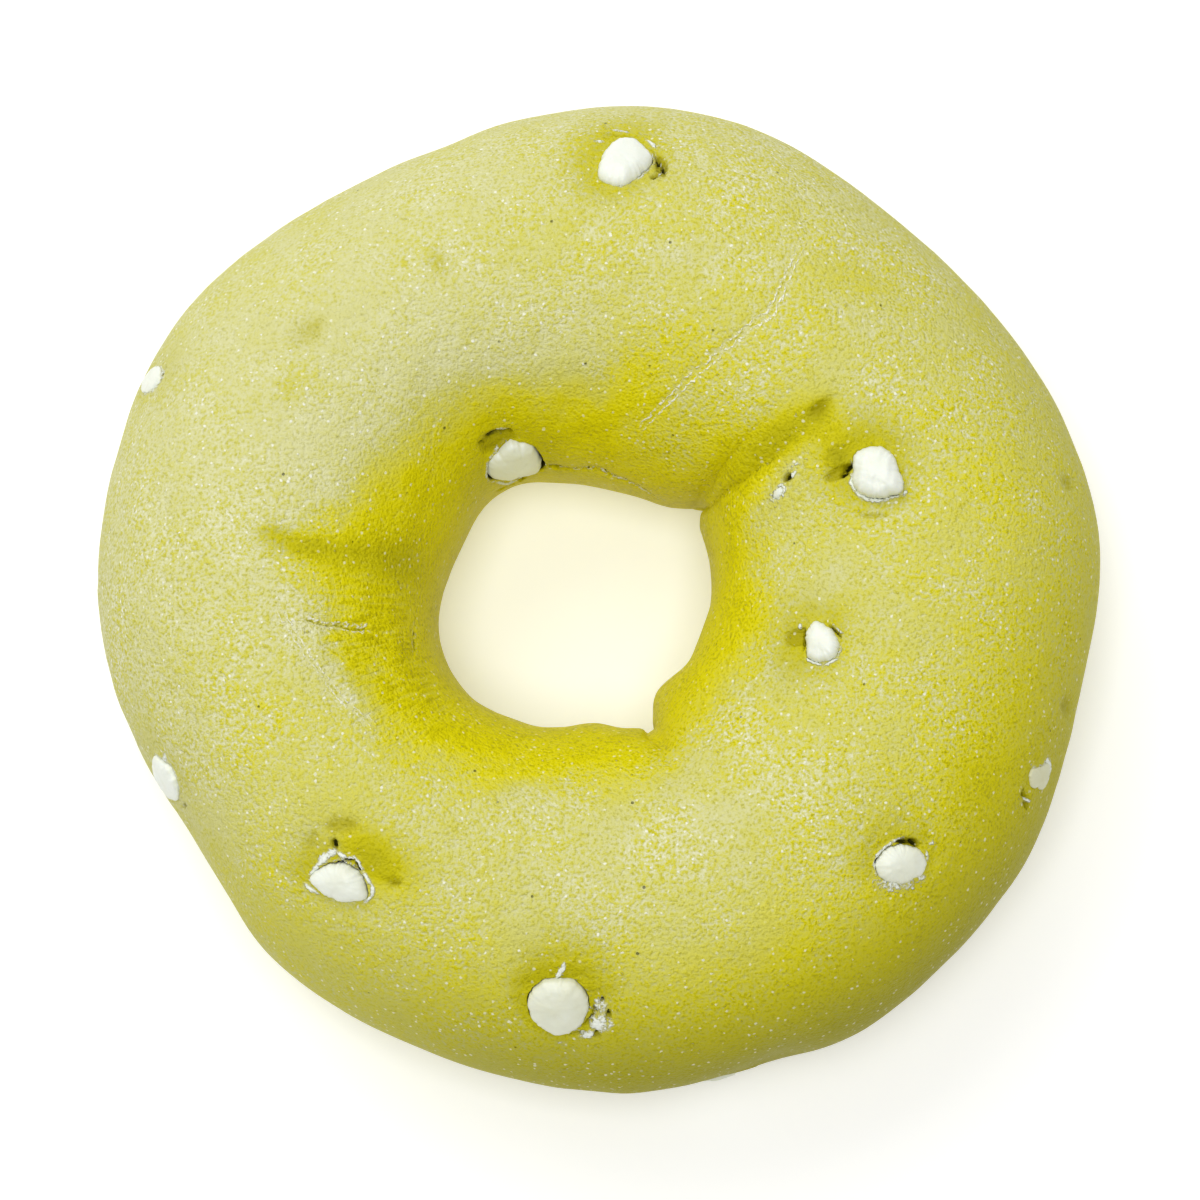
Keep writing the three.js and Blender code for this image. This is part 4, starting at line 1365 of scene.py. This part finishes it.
def chip_points(chip, place, segments, rings):
    """A blunt drop. The outline shrinks by the sine of a polar angle raised to a power under 1,
    so the sides are steep; the same angle's cosine lifts the cap and sinks the foot. Ridges are
    a sine across one direction, and the cap is dimpled by smooth noise."""
    direction = np.arange(segments) * 360 / segments
    polar = np.linspace(0, math.pi, rings + 1)[1:-1]
    direction, polar = np.meshgrid(direction, polar)
    shrink = np.sin(polar) ** CHIP_SIDES
    reach = chip_radius(chip, direction) * shrink
    right = reach * np.cos(direction * DEGREE)
    away = reach * np.sin(direction * DEGREE)
    rise = np.cos(polar)
    reach_out = np.where(rise > 0, chip["proud"] - CHIP_SEAT, -chip["deep"])
    out = CHIP_SEAT + reach_out * np.abs(rise) ** CHIP_CAP
    right, away = drawn_out(place, right, away, chip["tall"])
    depth, toward = chip["ridges"]
    stripes = np.cos(toward * DEGREE) * away - np.sin(toward * DEGREE) * right
    top = smooth(-0.1, 0.5, rise)
    out = out + top * depth * np.sin(stripes * RIDGE_WAVE + 0.6 * np.sin(right * 2))
    out = out + top * 0.07 * value_noise(right, away, 1.1, 41)
    out = out + top * 0.03 * value_noise(right, away, 0.4, 43)
    body = place.world(right, away, out)
    tip = place.world(np.zeros(1), np.zeros(1), out[:1].mean(1))
    foot = place.world(np.zeros(1), np.zeros(1), out[-1:].mean(1))
    return np.concatenate([body.reshape(-1, 3), tip, foot])


def drop_faces(segments, rings):
    """Faces of a closed drop: rows of quads between its rings and a fan at each end."""
    rows = rings - 1
    number = np.arange(rows * segments).reshape(rows, segments)
    after = np.roll(number, -1, axis=1)
    quads = np.stack([number[:-1], number[1:], after[1:], after[:-1]], -1).reshape(-1, 4)
    tip = np.full(segments, rows * segments)
    top = np.stack([tip, number[0], after[0]], -1)
    bottom = np.stack([tip + 1, after[-1], number[-1]], -1)
    return quads.tolist() + top.tolist() + bottom.tolist()


class BAGEL_OT_chips(bpy.types.Operator):
    """Make every white chocolate chip in its pocket"""

    bl_idname = "bagel.chips"
    bl_label = "White Chocolate Chips"

    def execute(self, context):
        shape = context.scene.bagel_shape
        material = chocolate_material()
        shift = cad_shift()
        faces = drop_faces(shape.chip_segments, shape.chip_rings)
        for chip in CHIPS:
            place = Place(chip["turn"], chip["lean"])
            points = (chip_points(chip, place, shape.chip_segments, shape.chip_rings) + shift) * MM
            low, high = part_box(chip["name"])
            apart = np.abs(points.mean(0) - (np.array(low) + np.array(high)) / 2).max()
            if apart > FARTHEST_CHIP:
                raise RuntimeError(f"{chip['name']} is {apart / MM:.1f} mm from its place")
            piece = mesh_piece(chip["name"] + "_cap", points, faces, material)
            write_paint(piece.data, {"ivory": np.full(len(points), chip["ivory"])})
            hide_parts(chip["name"])
        return {"FINISHED"}


def add_lamp(name, direction, size, power, aim):
    """A square soft lamp, in a direction and at a distance in metres from what it faces."""
    lamp = bpy.data.lights.new(name, "AREA")
    lamp.shape = "SQUARE"
    lamp.size = size
    lamp.energy = power
    holder = place_in_scene(name, lamp)
    holder.location = [a + d for a, d in zip(aim, direction)]
    holder.rotation_euler = Vector(direction).to_track_quat("Z", "Y").to_euler()


class BAGEL_OT_stage(bpy.types.Operator):
    """Make the pale floor, the soft studio light and the camera"""

    bl_idname = "bagel.stage"
    bl_label = "Stage"

    def execute(self, context):
        stage = context.scene.bagel_stage
        aim = stage.aim
        half = 1.5  # m, half the width of the floor
        corners = [(half * x, half * y, 0) for x, y in ((-1, -1), (1, -1), (1, 1), (-1, 1))]
        mesh = bpy.data.meshes.new("floor")
        mesh.from_pydata(corners, [], [(0, 1, 2, 3)])
        mesh.materials.append(floor_material())
        floor = place_in_scene("floor", mesh)
        add_lamp("key_lamp", (-0.27, 0.47, 0.55), 0.6, stage.lamp_power, aim)
        add_lamp("top_lamp", (-0.03, -0.12, 0.8), 0.38, stage.fill_power, aim)
        world = bpy.data.worlds.new("even_room")
        world.use_nodes = True
        background = world.node_tree.nodes["Background"]
        background.inputs["Color"].default_value = (1, 1, 1, 1)
        background.inputs["Strength"].default_value = stage.sky_strength
        context.scene.world = world
        camera = bpy.data.cameras.new("camera")
        camera.lens = stage.lens
        camera.sensor_width = 36  # mm
        holder = place_in_scene("camera", camera)
        back = Vector((0, -math.cos(stage.elevation), math.sin(stage.elevation)))
        holder.location = Vector(aim) + back * stage.distance
        holder.rotation_euler = (math.pi / 2 - stage.elevation, 0, 0)
        context.scene.camera = holder
        context.scene.view_settings.view_transform = "Standard"
        return {"FINISHED"}


class BAGEL_PT_panel(bpy.types.Panel):
    """The bagel's pieces and settings"""

    bl_label = "Bagel"
    bl_idname = "BAGEL_PT_panel"
    bl_space_type = "VIEW_3D"
    bl_region_type = "UI"
    bl_category = "Bagel"

    def draw(self, context):
        for operator in OPERATORS:
            self.layout.operator(operator.bl_idname)
        for key, settings in GROUPS.items():
            box = self.layout.box()
            for name in settings.__annotations__:
                box.prop(getattr(context.scene, key), name)


OPERATORS = (BAGEL_OT_stage, BAGEL_OT_dough, BAGEL_OT_chips)
GROUPS = {"bagel_shape": BagelShape, "bagel_colours": BagelColours, "bagel_stage": BagelStage}


def register():
    """Register the settings, the operators and the panel."""
    for item in (*GROUPS.values(), *OPERATORS, BAGEL_PT_panel):
        bpy.utils.register_class(item)
    for name, group in GROUPS.items():
        setattr(bpy.types.Scene, name, PointerProperty(type=group))


def unregister():
    """Take everything out again, in the opposite order."""
    for name in GROUPS:
        delattr(bpy.types.Scene, name)
    for item in (BAGEL_PT_panel, *reversed(OPERATORS), *GROUPS.values()):
        bpy.utils.unregister_class(item)


def main():
    """Make the whole scene with the add-on's own operators."""
    register()
    for operator in OPERATORS:
        getattr(bpy.ops.bagel, operator.bl_idname.split(".")[1])()


if __name__ == "__main__":
    main()
